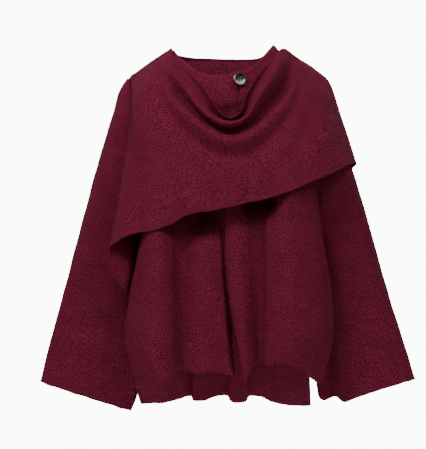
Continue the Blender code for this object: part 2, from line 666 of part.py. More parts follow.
pieces = [
    grid_cloth("front_right", right, flip=False),
    grid_cloth("front_left", left, flip=True),
    grid_cloth("back", behind, flip=False),
    grid_cloth("neck_band", band, flip=False),
    grid_cloth("sleeve_right", sleeve(SLEEVE_RIGHT, -1, PER_V, 2), flip=True, wrap=True),
    grid_cloth("sleeve_left", sleeve(SLEEVE_LEFT, 1, PER_V, 2), flip=False, wrap=True),
]
sew(pieces)

main, turned, low = scarf(2, [2, 2, 2, 2, 2, 2, 2, 2, 2, 3])
n, m = main.shape[:2]
points = np.vstack([main.reshape(-1, 3), turned.reshape(-1, 3)])
points = lay_over(points, pieces, WALL + 1.0)
faces = [f[::-1] for f in quads_of(n, m)]
faces += [tuple(i + n * m for i in f) for f in quads_of(turned.shape[0], turned.shape[1])]
pieces.append(Cloth("scarf", points, faces))

for piece in pieces:
    solid_points, solid_faces = piece.solid(WALL)
    knit = material("knit_" + piece.name, KNIT_RGB[piece.name], 0.9, 0.3)
    mesh_object(piece.name, solid_points, solid_faces, knit)
button([piece for piece in pieces if piece.name in ("front_left", "front_right", "neck_band")])
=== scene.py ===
# %% [markdown]
# # A burgundy scarf cardigan, filled out and hollow
# The real garment is a wide cardigan in a heavy fine-ribbed knit. A second cloth, the scarf,
# starts at the wearer's right shoulder, sinks into a cowl below the neck and is thrown over
# the left shoulder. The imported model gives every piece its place. Each cloth is modelled again
# here as a thin sheet on the same fold lines, with finer creases, hems and a knitted surface.
# Lengths in the tables are millimetres: +X is the wearer's left, -Y the front, +Z up.

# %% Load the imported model
import math

import bmesh
import bpy
import numpy as np
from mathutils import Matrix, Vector, noise
from mathutils.bvhtree import BVHTree


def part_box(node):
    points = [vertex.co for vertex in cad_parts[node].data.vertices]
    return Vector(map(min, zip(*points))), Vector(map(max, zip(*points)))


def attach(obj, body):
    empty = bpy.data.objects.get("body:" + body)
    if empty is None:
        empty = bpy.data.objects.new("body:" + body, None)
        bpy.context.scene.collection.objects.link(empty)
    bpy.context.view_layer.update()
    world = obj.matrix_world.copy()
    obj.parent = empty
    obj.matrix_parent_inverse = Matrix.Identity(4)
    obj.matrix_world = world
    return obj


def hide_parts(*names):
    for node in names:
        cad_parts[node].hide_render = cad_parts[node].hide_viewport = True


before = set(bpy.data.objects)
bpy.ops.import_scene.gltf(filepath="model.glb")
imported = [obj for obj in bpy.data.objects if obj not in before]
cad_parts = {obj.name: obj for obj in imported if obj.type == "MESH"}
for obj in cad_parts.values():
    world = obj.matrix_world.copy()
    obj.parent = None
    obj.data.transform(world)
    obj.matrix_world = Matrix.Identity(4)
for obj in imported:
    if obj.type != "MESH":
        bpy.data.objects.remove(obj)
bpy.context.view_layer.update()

print("nodes:", sorted(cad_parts))

# %% [markdown]
# ## The view and the studio
# The photograph was taken level with the middle of the garment, from far away with a long
# lens, against white. A lens of 168.8 mm four metres away gives the same flat perspective.
# The garment hangs where a wearer's shoulders would hold it, so the pale floor lies well
# below it. Two key lights stand high in front, the stronger one on the left, and leave the
# deep shadow under the scarf's edge. A weak fill on each side, a light above and two behind
# soften the rest. The surroundings look white to the camera but light the cloth only a little.

# %% Camera, floor, lights and white surroundings
stage = bpy.context.scene

camera_data = bpy.data.cameras.new("camera")
camera_data.lens = 168.8
camera_data.sensor_width = 36.0
camera = bpy.data.objects.new("camera", camera_data)
camera.location = (-0.0247, -4.0, -0.30875)  # level with the middle of the garment
camera.rotation_euler = (math.radians(90), 0, 0)
stage.collection.objects.link(camera)
stage.camera = camera


def linear(hex_colour):
    """sRGB hex text as linear red, green, blue, alpha."""
    channels = [int(hex_colour[i:i + 2], 16) / 255 for i in (1, 3, 5)]
    return [c / 12.92 if c <= 0.04045 else ((c + 0.055) / 1.055) ** 2.4 for c in channels] + [1.0]


def add(tree, kind, inputs=None, **settings):
    """One node: settings are its properties, inputs are values or sockets to link from."""
    node = tree.nodes.new(kind)
    for name, value in settings.items():
        setattr(node, name, value)
    for name, value in (inputs or {}).items():
        if isinstance(value, bpy.types.NodeSocket):
            tree.links.new(value, node.inputs[name])
        else:
            node.inputs[name].default_value = value
    return node


def new_material(name):
    material = bpy.data.materials.new(name)
    material.use_nodes = True
    material.node_tree.nodes.clear()
    return material, material.node_tree


def surface(tree, inputs):
    """A material's one shader, and its output."""
    shader = add(tree, "ShaderNodeBsdfPrincipled", inputs)
    add(tree, "ShaderNodeOutputMaterial", {"Surface": shader.outputs[0]})


def place_mesh(name, bm, materials):
    """A finished object at the origin, made from a bmesh that is freed here."""
    mesh = bpy.data.meshes.new(name)
    bm.to_mesh(mesh)
    bm.free()
    for material in materials:
        mesh.materials.append(material)
    obj = bpy.data.objects.new(name, mesh)
    stage.collection.objects.link(obj)
    return obj


FLOOR_Z = -1.45  # where the feet of a wearer would stand
FLOOR_RADIUS = 2.6
paint, tree = new_material("matt_white_studio_paint")
surface(tree, {"Base Color": linear("#f4f3f1"), "Roughness": 0.9})
bm = bmesh.new()
bmesh.ops.create_circle(bm, cap_ends=True, segments=128, radius=FLOOR_RADIUS)
bmesh.ops.translate(bm, verts=bm.verts, vec=(0, 0, FLOOR_Z))
floor = place_mesh("studio_floor", bm, [paint])

LIGHTS = [
    # name, place, aimed at, width, height, watts
    ("key", (-1.1, -1.9, 1.75), (0, 0, -0.3), 0.8, 0.8, 41),
    ("second key", (1.2, -1.9, 1.7), (0, 0, -0.3), 0.8, 0.8, 20),
    ("fill left", (-2.1, -2.9, -0.3), (0, 0, -0.35), 1.4, 1.4, 9),
    ("fill right", (2.1, -2.9, -0.3), (0, 0, -0.35), 1.4, 1.4, 9),
    ("top", (0, 0.3, 2.4), (0, 0, 0), 2.0, 1.4, 7),
    ("back left", (-2.2, 2.2, 1.5), (0, 0, -0.3), 1.4, 1.4, 40),
    ("back right", (2.2, 2.2, 1.2), (0, 0, -0.3), 1.4, 1.4, 26),
]
for name, place, aim, width, height, watts in LIGHTS:
    lamp = bpy.data.lights.new(name, "AREA")
    lamp.shape = "RECTANGLE"
    lamp.size, lamp.size_y, lamp.energy = width, height, watts
    obj = bpy.data.objects.new(name, lamp)
    obj.location = place
    obj.rotation_euler = (Vector(aim) - Vector(place)).to_track_quat("-Z", "Y").to_euler()
    stage.collection.objects.link(obj)

WHITE_SEEN = 11.0  # how bright the surroundings look to the camera
LIGHT_BELOW, LIGHT_ABOVE = 0.01, 0.20  # how much they light, up to the horizon and high above it
world = bpy.data.worlds.new("white_studio")
stage.world = world
world.use_nodes = True
tree = world.node_tree
tree.nodes.clear()
seen = add(tree, "ShaderNodeBackground", {"Color": (1, 1, 1, 1), "Strength": WHITE_SEEN})
direction = add(tree, "ShaderNodeTexCoord").outputs["Generated"]
height = add(tree, "ShaderNodeSeparateXYZ", {0: direction}).outputs[2]
strength = add(tree, "ShaderNodeMapRange", {
    0: height, 1: 0.0, 2: 0.7, 3: LIGHT_BELOW, 4: LIGHT_ABOVE}).outputs[0]
lit = add(tree, "ShaderNodeBackground", {"Color": (1, 1, 1, 1), "Strength": strength})
to_camera = add(tree, "ShaderNodeLightPath").outputs["Is Camera Ray"]
both = add(tree, "ShaderNodeMixShader", {0: to_camera, 1: lit.outputs[0], 2: seen.outputs[0]})
add(tree, "ShaderNodeOutputWorld", {"Surface": both.outputs[0]})
print("floor at", FLOOR_Z, "m and", len(LIGHTS), "lights")

# %% [markdown]
# ## The knit
# The yarn is a matt, slightly hairy wool blend dyed one burgundy, knitted as plain jersey:
# columns of small V-shaped stitches, called wales. A real wale of this cloth is about 2 mm
# wide. It is drawn at 2.8 mm, as coarse as it needs to be to show as a fine grain.
# The stitches are worked out from a UV map in metres that follows each sheet, so that the
# wales run where the knitter's needles ran. Each V is one slanted wave, mirrored at the middle
# of its wale. No two stitches are the same length, so each takes the light a little
# differently, and the grooves between the wales are darker, as painted shade in the colour.
# Fibres catch light as sheen. The reverse of the cloth, seen inside, is drawn paler: partly its
# paler loops, partly painted light on the insides that the lamps barely reach. The scarf's
# reverse is painted a little darker instead, as painted shade on its turned-back layer under
# the scarf's edge. The fronts' edges have a border that is stitched down, which shows as a
# fine trench beside the edge.

# %% Knitted material
WALE, COURSE = 0.0028, 0.0022  # width and height of a drawn stitch, in metres
EDGE_STITCH = 5.0  # how far in from a front edge its border is stitched down


def chain(tree, value, *steps):
    """Math nodes one after another; a step is an operation and its further inputs."""
    for operation, *others in steps:
        inputs = dict(enumerate([value, *others]))
        value = add(tree, "ShaderNodeMath", inputs, operation=operation).outputs[0]
    return value


def knit(name, light_hex, dark_hex, edge_line=False):
    material, tree = new_material(name)
    grain = 0.75  # how much lighter or darker single stitches are
    uv = add(tree, "ShaderNodeUVMap", uv_map="knit").outputs[0]
    place = add(tree, "ShaderNodeTexCoord").outputs["Object"]

    # Uneven yarn tension: the columns wander by a fraction of a wale.
    wander = add(tree, "ShaderNodeTexNoise", {"Vector": place, "Scale": 55.0, "Detail": 2.0})
    axes = add(tree, "ShaderNodeSeparateXYZ", {0: uv})
    across = chain(tree, axes.outputs[0], ("MULTIPLY", 1 / WALE))
    across = chain(tree, wander.outputs["Fac"], ("MULTIPLY_ADD", 0.6, across))
    along_wale = chain(tree, axes.outputs[1], ("MULTIPLY", 1 / COURSE))

    # side: 0 in the middle of a wale, 1 in the groove between two wales.
    side = chain(tree, across, ("FRACT",), ("SUBTRACT", 0.5), ("ABSOLUTE",), ("MULTIPLY", 2.0))
    leg = chain(tree, side, ("MULTIPLY_ADD", -0.9, along_wale), ("FRACT",),
                ("MULTIPLY", math.pi), ("SINE",))
    stitch = chain(tree, leg, ("MULTIPLY_ADD", 0.55, 0.45))
    edge = chain(tree, side, ("POWER", 4.0))
    round_wale = chain(tree, edge, ("MULTIPLY_ADD", -1.0, 1.0))
    height = chain(tree, stitch, ("MULTIPLY", round_wale))

    # Tight and slack stitches: longer along the wale than across it.
    cell = add(tree, "ShaderNodeCombineXYZ", {
        0: chain(tree, across, ("MULTIPLY", 1.25)), 1: chain(tree, along_wale, ("MULTIPLY", 0.8))})
    slack = add(tree, "ShaderNodeTexNoise", {"Vector": cell.outputs[0], "Scale": 1.0, "Detail": 1.0},
                noise_dimensions="2D").outputs["Fac"]
    fuzz = add(tree, "ShaderNodeTexNoise", {"Vector": place, "Scale": 900.0, "Detail": 3.0})
    height = chain(tree, slack, ("MULTIPLY_ADD", 1.2, height))
    height = chain(tree, fuzz.outputs["Fac"], ("MULTIPLY_ADD", 0.35, height))

    if edge_line:
        border = add(tree, "ShaderNodeAttribute", attribute_name="edge_mm").outputs["Fac"]
        off = chain(tree, border, ("SUBTRACT", EDGE_STITCH), ("ABSOLUTE",))
        trench = add(tree, "ShaderNodeMapRange", {0: off, 1: 0.0, 2: 1.8, 3: -2.2, 4: 0.0},
                     interpolation_type="SMOOTHSTEP").outputs[0]
        height = chain(tree, height, ("ADD", trench))

    # Colour: mottled yarn, with painted shade that darkens it down in the grooves between the wales.
    blotch = add(tree, "ShaderNodeTexNoise", {"Vector": place, "Scale": 40.0, "Detail": 5.0})
    tone = add(tree, "ShaderNodeMapRange", {0: blotch.outputs["Fac"], 1: 0.3, 2: 0.7}).outputs[0]
    yarn = add(tree, "ShaderNodeMix", {0: tone, 6: linear(dark_hex), 7: linear(light_hex)},
               data_type="RGBA").outputs[2]
    lift = add(tree, "ShaderNodeMapRange", {
        0: slack, 1: 0.25, 2: 0.75, 3: 1 - grain, 4: 1 + grain}).outputs[0]
    # Painted shade: the colour is darkened by up to a fifth in the grooves between the wales.
    groove = add(tree, "ShaderNodeMapRange", {0: edge, 1: 0.1, 2: 0.9, 3: 1.0, 4: 0.8}).outputs[0]
    lift = chain(tree, lift, ("MULTIPLY", groove))
    shade = add(tree, "ShaderNodeVectorMath", {0: yarn, "Scale": lift}, operation="SCALE").outputs[0]

    bump = add(tree, "ShaderNodeBump", {"Strength": 0.8, "Distance": 0.0005, "Height": height})
    surface(tree, {
        "Base Color": shade, "Roughness": 0.92, "Normal": bump.outputs[0], "Specular IOR Level": 0.08,
        "Sheen Weight": 0.06, "Sheen Roughness": 0.6, "Sheen Tint": linear("#c03c62")})
    return material


jersey = knit("burgundy_wool_jersey", "#78223b", "#6d1d34")
front_jersey = knit("burgundy_wool_jersey_front", "#78223b", "#6d1d34", edge_line=True)
scarf_jersey = knit("burgundy_wool_jersey_scarf", "#78223b", "#6d1d34")
trim_jersey = knit("burgundy_knitted_neck_trim", "#7d243d", "#721f37")
# The reverse is painted paler than the face, partly for its paler loops and partly as painted light on the
# insides that the lamps barely reach.
reverse_jersey_painted_light = knit("burgundy_wool_jersey_reverse_painted_light", "#983252", "#8a2a49")
# The scarf's reverse is painted darker than the face: painted shade on the turned-back layer under the
# scarf's edge.
scarf_reverse_painted_shade = knit("burgundy_wool_jersey_scarf_reverse", "#711e36", "#671b30")
print("knit materials:", [m.name for m in bpy.data.materials if "burgundy" in m.name])

# %% [markdown]
# ## Smooth curves through short tables
# A pattern cutter marks a few points and joins them with a flexible curve. The same is done
# here: each table row is a fold line, and a cubic curve with gentle slopes joins the rows.
# The curve must pass through every point and must not swing past it, or the cloth would
# cross itself between two folds.

# %% Curves and sheets
THIN, HEM = 2.2, 2.7  # the sheet's thickness away from its hems, and in them
HEM_REACH = 7.0  # how far in from a free edge the cloth is thicker
FAR = 999.0  # no free edge near
SEAM_ALLOWANCE = 1.0
ROUNDING = 1.4  # what subdivision takes off a free edge
CLEAR = 1.3  # regular places keep off the hem's own by this factor
NOISE_TO_ONE = 1.8  # the noise function stays within about 0.55 of 0


def hermite(knots, values, at):
    """A smooth curve through the values; its slopes are weighted means, freer at the ends."""
    k = np.asarray(knots, float)
    p = np.asarray(values, float).reshape(len(k), -1)
    step = np.diff(k)[:, None]
    slope = np.diff(p, axis=0) / step
    m = np.empty_like(p)
    m[1:-1] = (slope[:-1] * step[1:] + slope[1:] * step[:-1]) / (step[:-1] + step[1:])
    m[0], m[-1] = slope[0], slope[-1]
    if len(k) > 2:
        m[0] = 1.5 * slope[0] - 0.5 * m[1]
        m[-1] = 1.5 * slope[-1] - 0.5 * m[-2]
    t = np.clip(np.asarray(at, float), k[0], k[-1])
    i = np.clip(np.searchsorted(k, t, side="right") - 1, 0, len(k) - 2)
    h = (k[i + 1] - k[i])[:, None]
    s = (t - k[i])[:, None] / h
    a = 2 * s**3 - 3 * s**2 + 1
    b = s**3 - 2 * s**2 + s
    return a * p[i] + b * h * m[i] + (1 - a) * p[i + 1] + (s**3 - s**2) * h * m[i + 1]


def samples(counts, start=(), end=()):
    """Places 0 to len(counts), with closer ones beside an edge that has a hem."""
    n = len(counts)
    places = [0.0] + [i + k / c for i, c in enumerate(counts) for k in range(1, c + 1)]
    if start:
        places = [0.0, *start] + [p for p in places if p > start[-1] * CLEAR]
    if end:
        places = [p for p in places if p < n - end[-1] * CLEAR] + [n - e for e in end] + [float(n)]
    return np.array(sorted(places))


def line_length(points):
    """Length along a line of points from its first one."""
    return np.concatenate([[0], np.cumsum(np.linalg.norm(np.diff(points, axis=0), axis=1))])


def run_length(points, axis):
    """Length along the sheet from its first row, in millimetres."""
    step = np.linalg.norm(np.diff(points, axis=axis), axis=2)
    total = np.cumsum(step, axis=axis)
    pad = np.zeros_like(total.take([0], axis=axis))
    return np.concatenate([pad, total], axis=axis)


def outward(points, flip, closed=False):
    """Unit normals of a grid of points."""
    if closed:
        p = np.concatenate([points[-2:-1], points, points[1:2]])
        du = p[2:] - p[:-2]
    else:
        du = np.gradient(points, axis=0)
    normal = np.cross(du, np.gradient(points, axis=1))
    size = np.linalg.norm(normal, axis=2)[..., None]
    normal = normal / np.maximum(size, 1e-9)
    return -normal if flip else normal


def path_distance(x, z, path):
    """Distance from a path in the front view, and how far along it, from 0 to 1."""
    best = np.full(x.shape, 1e9)
    share = np.zeros(x.shape)
    p = np.array(path, float)
    length = line_length(p)
    for k in range(len(p) - 1):
        d = p[k + 1] - p[k]
        t = np.clip(((x - p[k, 0]) * d[0] + (z - p[k, 1]) * d[1]) / (d @ d), 0, 1)
        gap = np.hypot(x - p[k, 0] - t * d[0], z - p[k, 1] - t * d[1])
        nearer = gap < best
        best = np.where(nearer, gap, best)
        share = np.where(nearer, (length[k] + t * (length[k + 1] - length[k])) / length[-1], share)
    return best, share


def crease(points, normals, rows, free):
    """Soft ridges (height above 0) and troughs (below 0), front or back, one row each."""
    out = points.copy()
    for side, height, width, path in rows:
        gap, share = path_distance(points[..., 0], points[..., 2], path)
        # A fold dies away at both ends, and shows only where the cloth faces its side.
        fade = np.sin(np.pi * np.clip(share, 0.03, 0.97)) ** 0.6
        facing = np.clip(side * normals[..., 1] * 3, 0, 1)
        push = height * np.exp(-(gap / width) ** 2) * fade * facing * free
        out += normals * push[..., None]
    return out


def uneven(points, normals, amount, size, free, seed):
    """The slight unevenness of real cloth."""
    out = points.copy()
    for i in range(points.shape[0]):
        for j in range(points.shape[1]):
            lift = noise.noise(Vector(points[i, j] / size) + Vector((seed, 0, 0)))
            out[i, j] += normals[i, j] * amount * lift * free[i, j]
    return out


def let_out(points, axis, last, mm, where=True):
    """Moves an edge on by a small seam allowance, so that no light shows through the seam."""
    edge, inner = (-1, -2) if last else (0, 1)
    p = np.moveaxis(points, axis, 0)
    step = p[edge] - p[inner]
    step = step / np.linalg.norm(step, axis=1)[:, None] * mm
    p[edge] += np.where(np.broadcast_to(where, step.shape[:1])[:, None], step, 0)


def wavy(points, amount, wave, seed, reach=16.0):
    """A hem is never quite straight: it runs in and out a little."""
    p = np.moveaxis(points, 1, 0)
    along = line_length(p[-1])
    swing = np.array([noise.noise(Vector((a / wave, seed, 0))) for a in along]) * amount * NOISE_TO_ONE
    way = p[-1] - p[-3]
    way = way / np.linalg.norm(way, axis=1)[:, None]
    gap = np.linalg.norm(p - p[-1], axis=2)
    p += way[None] * (swing[None] * np.clip(1 - gap / reach, 0, 1) ** 2)[..., None]


def curl(points, normals, depth, reach=6.0):
    """Knitted jersey rolls inwards at a plain hem."""
    p, n = np.moveaxis(points, 1, 0), np.moveaxis(normals, 1, 0)
    gap = np.linalg.norm(p - p[-1], axis=2)
    p -= n * (depth * np.clip(1 - gap / reach, 0, 1) ** 2)[..., None]


def drape(points, normals, free, creases, lumps, waves, seed):
    """The creases, the unevenness (height, size) and the wavy hem (height, length) of a cloth."""
    points = crease(points, normals, creases, free)
    points = uneven(points, normals, *lumps, free, seed)
    wavy(points, *waves, seed)
    return points


def lay_grid(bm, points, across, down, hem, flip, border=None):
    """A flat grid whose corners are moved onto the points, with its knit UV map."""
    n, m = points.shape[:2]
    uv = bm.loops.layers.uv.get("knit") or bm.loops.layers.uv.new("knit")
    hem_layer = bm.verts.layers.float.get("hem_mm") or bm.verts.layers.float.new("hem_mm")
    edge_layer = bm.verts.layers.float.get("edge_mm") or bm.verts.layers.float.new("edge_mm")
    made = bmesh.ops.create_grid(bm, x_segments=n - 1, y_segments=m - 1, size=0.5)
    faces = {face for vert in made["verts"] for face in vert.link_faces}
    for vert in made["verts"]:
        i, j = round((vert.co.x + 0.5) * (n - 1)), round((vert.co.y + 0.5) * (m - 1))
        for loop in vert.link_loops:
            loop[uv].uv = (across[i, j] / 1000, down[i, j] / 1000)
        vert[hem_layer] = hem[i, j]
        vert[edge_layer] = FAR if border is None else border[i, j]
        vert.co = points[i, j] / 1000
    if flip:
        bmesh.ops.reverse_faces(bm, faces=list(faces))


def sheet(name, points, across, down, hem, material, flip, closed=False, border=None):
    """One piece of cloth on a grid of points; a tube's two long edges are merged."""
    bm = bmesh.new()
    lay_grid(bm, points, across, down, hem, flip, border)
    if closed:
        bmesh.ops.remove_doubles(bm, verts=bm.verts, dist=1e-5)
    return finish_cloth(name, bm, material)


def finish_cloth(name, bm, material, reverse=reverse_jersey_painted_light):
    """The sheet gets its two sides, a wall that is thicker in its hems, and soft rims."""
    for face in bm.faces:
        face.smooth = True
    obj = place_mesh(name, bm, [material, reverse])
    mesh = obj.data
    hems = obj.vertex_groups.new(name="hem")
    for vert, value in zip(mesh.vertices, mesh.attributes["hem_mm"].data):
        hems.add([vert.index], max(0.0, min(1.0, (HEM_REACH + 1 - value.value) / 2)), "REPLACE")
    wall = obj.modifiers.new("wall", "SOLIDIFY")
    wall.thickness = HEM / 1000
    wall.thickness_vertex_group = THIN / HEM
    wall.vertex_group = "hem"
    wall.offset = 0.0
    wall.material_offset = 1  # the reverse of the cloth; the rim keeps the face's colour
    soft = obj.modifiers.new("soft rims", "SUBSURF")
    soft.levels = soft.render_levels = 1
    print(name, len(mesh.polygons), "faces before the wall and the subdivision")
    return obj


# %% [markdown]
# ## The neck opening and its trim
# The neck edge is finished with a narrow knitted strip, 10 mm high, that stands up a little.
# Its ring is an open curve in space: it starts under the button, passes the right neck point,
# the back and the left neck point, and ends on top of its own beginning.

# %% Neck ring and neck trim
BAND = 10.0
NECK_MIDDLE = (-4.0, -5.0)
LEAN_FRONT, LEAN_SIDE = 0.36, 0.38  # how far the trim leans out, and what the sides add
NECK = [
    # x, y, z
    (48, -66, -13), (26, -77, -24), (-2, -83.5, -30), (-21, -85, -32), (-38, -82, -30),
    (-53, -75, -23), (-68, -62, -12), (-81, -44, -1), (-93, -21, 12), (-100, 5, 22),
    (-97, 25, 16), (-88, 40, 14), (-75, 51, 12.5), (-59, 58, 11), (-30, 64, 10.5),
    (-2, 66, 9.5), (27, 64, 9), (50, 58, 9), (66, 46, 11), (79, 27, 19),
    (90, 5, 32), (80, -25, 19), (71, -45, 8), (59, -62, -5), (48, -75, -14),
    (39, -82, -20), (30, -87, -25),
]
NECK_POINT_RIGHT, NECK_POINT_LEFT, NECK_END = 9, 20, 26


def neck_ring(at):
    """Top and bottom edge of the trim; at counts the rows of NECK."""
    p = np.array(NECK, float)
    top = hermite(np.arange(len(p)), p, at)
    flat = top[:, :2] - NECK_MIDDLE
    side = flat / np.linalg.norm(flat, axis=1)[:, None]
    lean = LEAN_FRONT + LEAN_SIDE * side[:, 0:1] ** 4
    return top, top + BAND * np.hstack([side * lean, -np.sqrt(1 - lean**2)])


ring_at = np.linspace(0, NECK_END, NECK_END * 7 + 1)
ring_top, ring_bottom = neck_ring(ring_at)
BULGE = 0.9  # how far the trim rounds out between its two edges
shares = np.array([0, 0.08, 0.2, 0.35, 0.5, 0.65, 0.8, 0.92, 1.0])
band = np.stack([ring_top * (1 - s) + ring_bottom * s for s in shares], axis=1)
band_normals = outward(band, flip=False)
band += band_normals * (BULGE * np.sin(np.pi * shares))[None, :, None]
let_out(band, 1, True, SEAM_ALLOWANCE)
let_out(band, 1, False, ROUNDING)
band_across = run_length(band, 1)
band_along = run_length(band, 0)
neck_band = sheet("neck_trim_knit", band, band_across, band_along, np.full(band.shape[:2], FAR),
                  trim_jersey, flip=False)
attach(neck_band, "root")
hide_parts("neck_band")

# %% [markdown]
# ## Fronts and back
# Each panel is cut wider at the hem than at the chest. The spare width falls into tubes, the
# flutes, which start under the chest and stand out most near the hem. One table row is one
# fold line from the shoulder down; its columns are the levels yoke, chest, underarm, waist,
# low and hem. The side seams are open below the waist, so the hems swing forward and back.

# %% Edges that the panels share
ARMHOLE_FRONT = [
    # at, x, y, z
    (0.0, 182, 5, -39), (0.45, 178, -22, -63), (1.0, 172, -39, -100), (1.5, 167, -50, -142),
    (2.0, 162, -56, -190), (2.4, 156, -49, -241), (2.75, 151, -25, -290), (3.0, 148, 0, -312),
]
ARMHOLE_BACK = [
    (0.0, 182, 5, -39), (0.45, 181, 29, -63), (1.0, 178, 46, -100), (1.5, 173, 59, -142),
    (2.0, 167, 65, -190), (2.4, 160, 57, -241), (2.75, 152, 29, -290), (3.0, 148, 0, -312),
]
SIDE_SEAM = [(3.0, 148, 0, -312), (4.0, 147, 0, -450)]
SLITS = {
    "front_right": [(4.0, 147, 0, -450), (4.5, 160, -14, -488), (5.0, 175, -28, -530),
                    (6.0, 156, -55, -631)],
    "front_left": [(4.0, 147, 0, -450), (4.5, 162, -12, -488), (5.0, 182, -26, -530),
                   (6.0, 177, -54, -607)],
    "back_left": [(4.0, 147, 0, -450), (4.5, 152, 5, -488), (5.0, 156, 9, -530),
                  (6.0, 161, 10, -651)],
    "back_right": [(4.0, 147, 0, -450), (4.5, 158, 5, -488), (5.0, 169, 9, -530),
                   (5.75, 171, 10, -620), (6.0, 162, 11, -649)],
}
SHOULDER_RIGHT = [(-126, 5, 4), (-143, 5, -6.5), (-163, 5, -22), (-182, 5, -39)]
SHOULDER_LEFT = [(109, 5, 14.5), (130, 5, 1), (156, 5, -16), (182, 5, -39)]
LEVEL_Z = [-100, -190, -312, -450, -530]  # yoke, chest, underarm, waist, low
ROUND = 0.12  # how full the shoulder is between its seam and the yoke level
V_COUNTS = [12, 12, 14, 14, 10, 12]  # faces from one level to the next
HEM_ROWS = (0.02, 0.05, 0.08, 0.12)  # closer rows beside the hem, as shares of the last level
SLIT_FROM = 4  # the level at which the side seams end
FADE_TOP, FADE_SIDE, FADE_ARMHOLE = 25, 20, 30  # so far from a sewn edge creases have full height


def side_edge(kind, sign, v):
    """Armhole, side seam and slit of a panel at the places v."""
    hole = ARMHOLE_BACK if kind.startswith("back") else ARMHOLE_FRONT
    out = np.empty((len(v), 3))
    for rows, low, high in ((hole, -1, 3), (SIDE_SEAM, 3, 4), (SLITS[kind], 4, 9)):
        here = (v > low) & (v <= high)
        r = np.array(rows, float)
        out[here] = hermite(r[:, 0], r[:, 1:], v[here])
    return out * (sign, 1, 1)


def shoulder_edge(neck_at, rows, share):
    p = np.vstack([neck_ring([neck_at])[1], np.array(rows, float)])
    d = line_length(p)
    return hermite(d, p, np.asarray(share) * d[-1])


def panel_points(columns, top, sides, u, v):
    """A panel from its fold lines; its top edge and its sides are given ready made."""
    cols = []
    for c in np.array(columns, float):
        half_way = c[0] + (c[1] - c[0]) * (0.5, 0.5 + ROUND, 0.5 - ROUND)
        cols.append(hermite(np.insert(np.arange(7.0), 1, 0.5), np.insert(c, 1, half_way, axis=0), v))
    cols = np.array(cols)
    for i, side in sides.items():
        cols[i] = side
    p = np.stack([hermite(np.arange(len(columns)), cols[:, j], u) for j in range(len(v))], axis=1)
    blend = np.clip(1 - v, 0, 1)[None, :, None] ** 2
    return p + (top - p[:, 0])[:, None, :] * blend


def hem_distance(points, v, edges):
    """Distance to the nearest of the named free edges; slits count only below SLIT_FROM."""
    wide, tall = run_length(points, 0), run_length(points, 1)
    first, last, open_below = wide, wide[-1:] - wide, (v >= SLIT_FROM)[None, :]
    gaps = {
        "hem": tall[:, -1:] - tall, "first": first, "last": last,
        "slit first": np.where(open_below, first, FAR), "slit last": np.where(open_below, last, FAR),
    }
    return np.minimum.reduce([np.full(wide.shape, FAR)] + [gaps[edge] for edge in edges])


def sewn_fade(points, v, sides):
    """0 at a sewn edge, 1 away from it, so that creases never open a seam."""
    wide, tall = run_length(points, 0), run_length(points, 1)
    sewn_above = (v <= SLIT_FROM + 0.2)[None, :]
    fade = np.clip(tall / FADE_TOP, 0, 1)
    for side, gap in (("first", wide), ("last", wide[-1:] - wide)):
        if side in sides:
            fade *= np.where(sewn_above, np.clip(gap / FADE_SIDE, 0, 1), 1)
    return fade


print("side seam from z", SIDE_SEAM[0][3], "to", SIDE_SEAM[-1][3], "mm, slits below it")


# %% The two fronts
FRONT_NECK = 6  # the first six intervals end at the neck, the rest at the shoulder
HEM_CURL = 4.5  # how far the fronts' hems roll inwards
FRONT_RIGHT = [
    # yoke          chest         underarm      waist         low           hem
    ("edge",        (42, -94), (25, -105), (17, -98), (14, -93), (17, -92), (18, -92, -592)),
    ("flat",        (0, -102), (-15, -110), (-20, -104), (-20, -99), (-20, -99), (-15, -98, -582)),
    ("bulge",       (-30, -102), (-40, -112), (-45, -107), (-45, -104), (-44, -104), (-42, -103, -583)),
    ("fall",        (-54, -99), (-62, -110), (-66, -102), (-66, -97), (-64, -97), (-64, -96, -583)),
    ("recess",      (-77, -94), (-83, -107), (-84, -97), (-82, -90), (-81, -89), (-82, -88, -576)),
    ("fold in",     (-95, -88), (-98, -106), (-95, -105), (-93, -102), (-92, -102), (-92, -101, -579)),
    ("crest in",    (-110, -82), (-111, -105), (-104, -121), (-103, -125), (-101, -126), (-99, -123, -592)),
    ("crest",       (-127, -74), (-127, -101), (-124, -132), (-130, -138), (-128, -141), (-119, -136, -613)),
    ("crest out",   (-144, -64), (-143, -90), (-146, -117), (-160, -118), (-162, -120), (-140, -117, -622)),
    ("outer",       (-158, -54), (-154, -75), (-157, -74), (-181, -70), (-187, -74), (-153, -85, -629)),
]
FRONT_LEFT = [
    ("edge",        (19, -104), (3, -114), (-2, -107), (8, -107), (21, -108), (34, -110, -600)),
    ("small crest", (29, -104), (15, -116), (16, -113), (23, -114), (33, -113), (42, -108, -589)),
    ("fall",        (42, -102), (34, -115), (38, -106), (43, -103), (46, -103), (51, -97, -571)),
    ("recess",      (56, -99), (51, -112), (55, -96), (58, -90), (58, -88), (60, -86, -563)),
    ("fold in",     (70, -95), (66, -112), (67, -101), (67, -97), (67, -96), (68, -92, -562)),
    ("crest in",    (85, -90), (81, -115), (78, -119), (77, -121), (76, -121), (75, -113, -569)),
    ("crest",       (107, -80), (108, -118), (113, -140), (115, -142), (117, -142), (112, -130, -566)),
    ("crest out",   (128, -69), (132, -106), (147, -124), (156, -124), (158, -124), (141, -114, -576)),
    ("outer",       (147, -59), (150, -88), (168, -98), (184, -92), (185, -92), (162, -90, -596)),
    ("turn",        (160, -50), (160, -71), (176, -67), (197, -54), (198, -58), (174, -68, -605)),
]
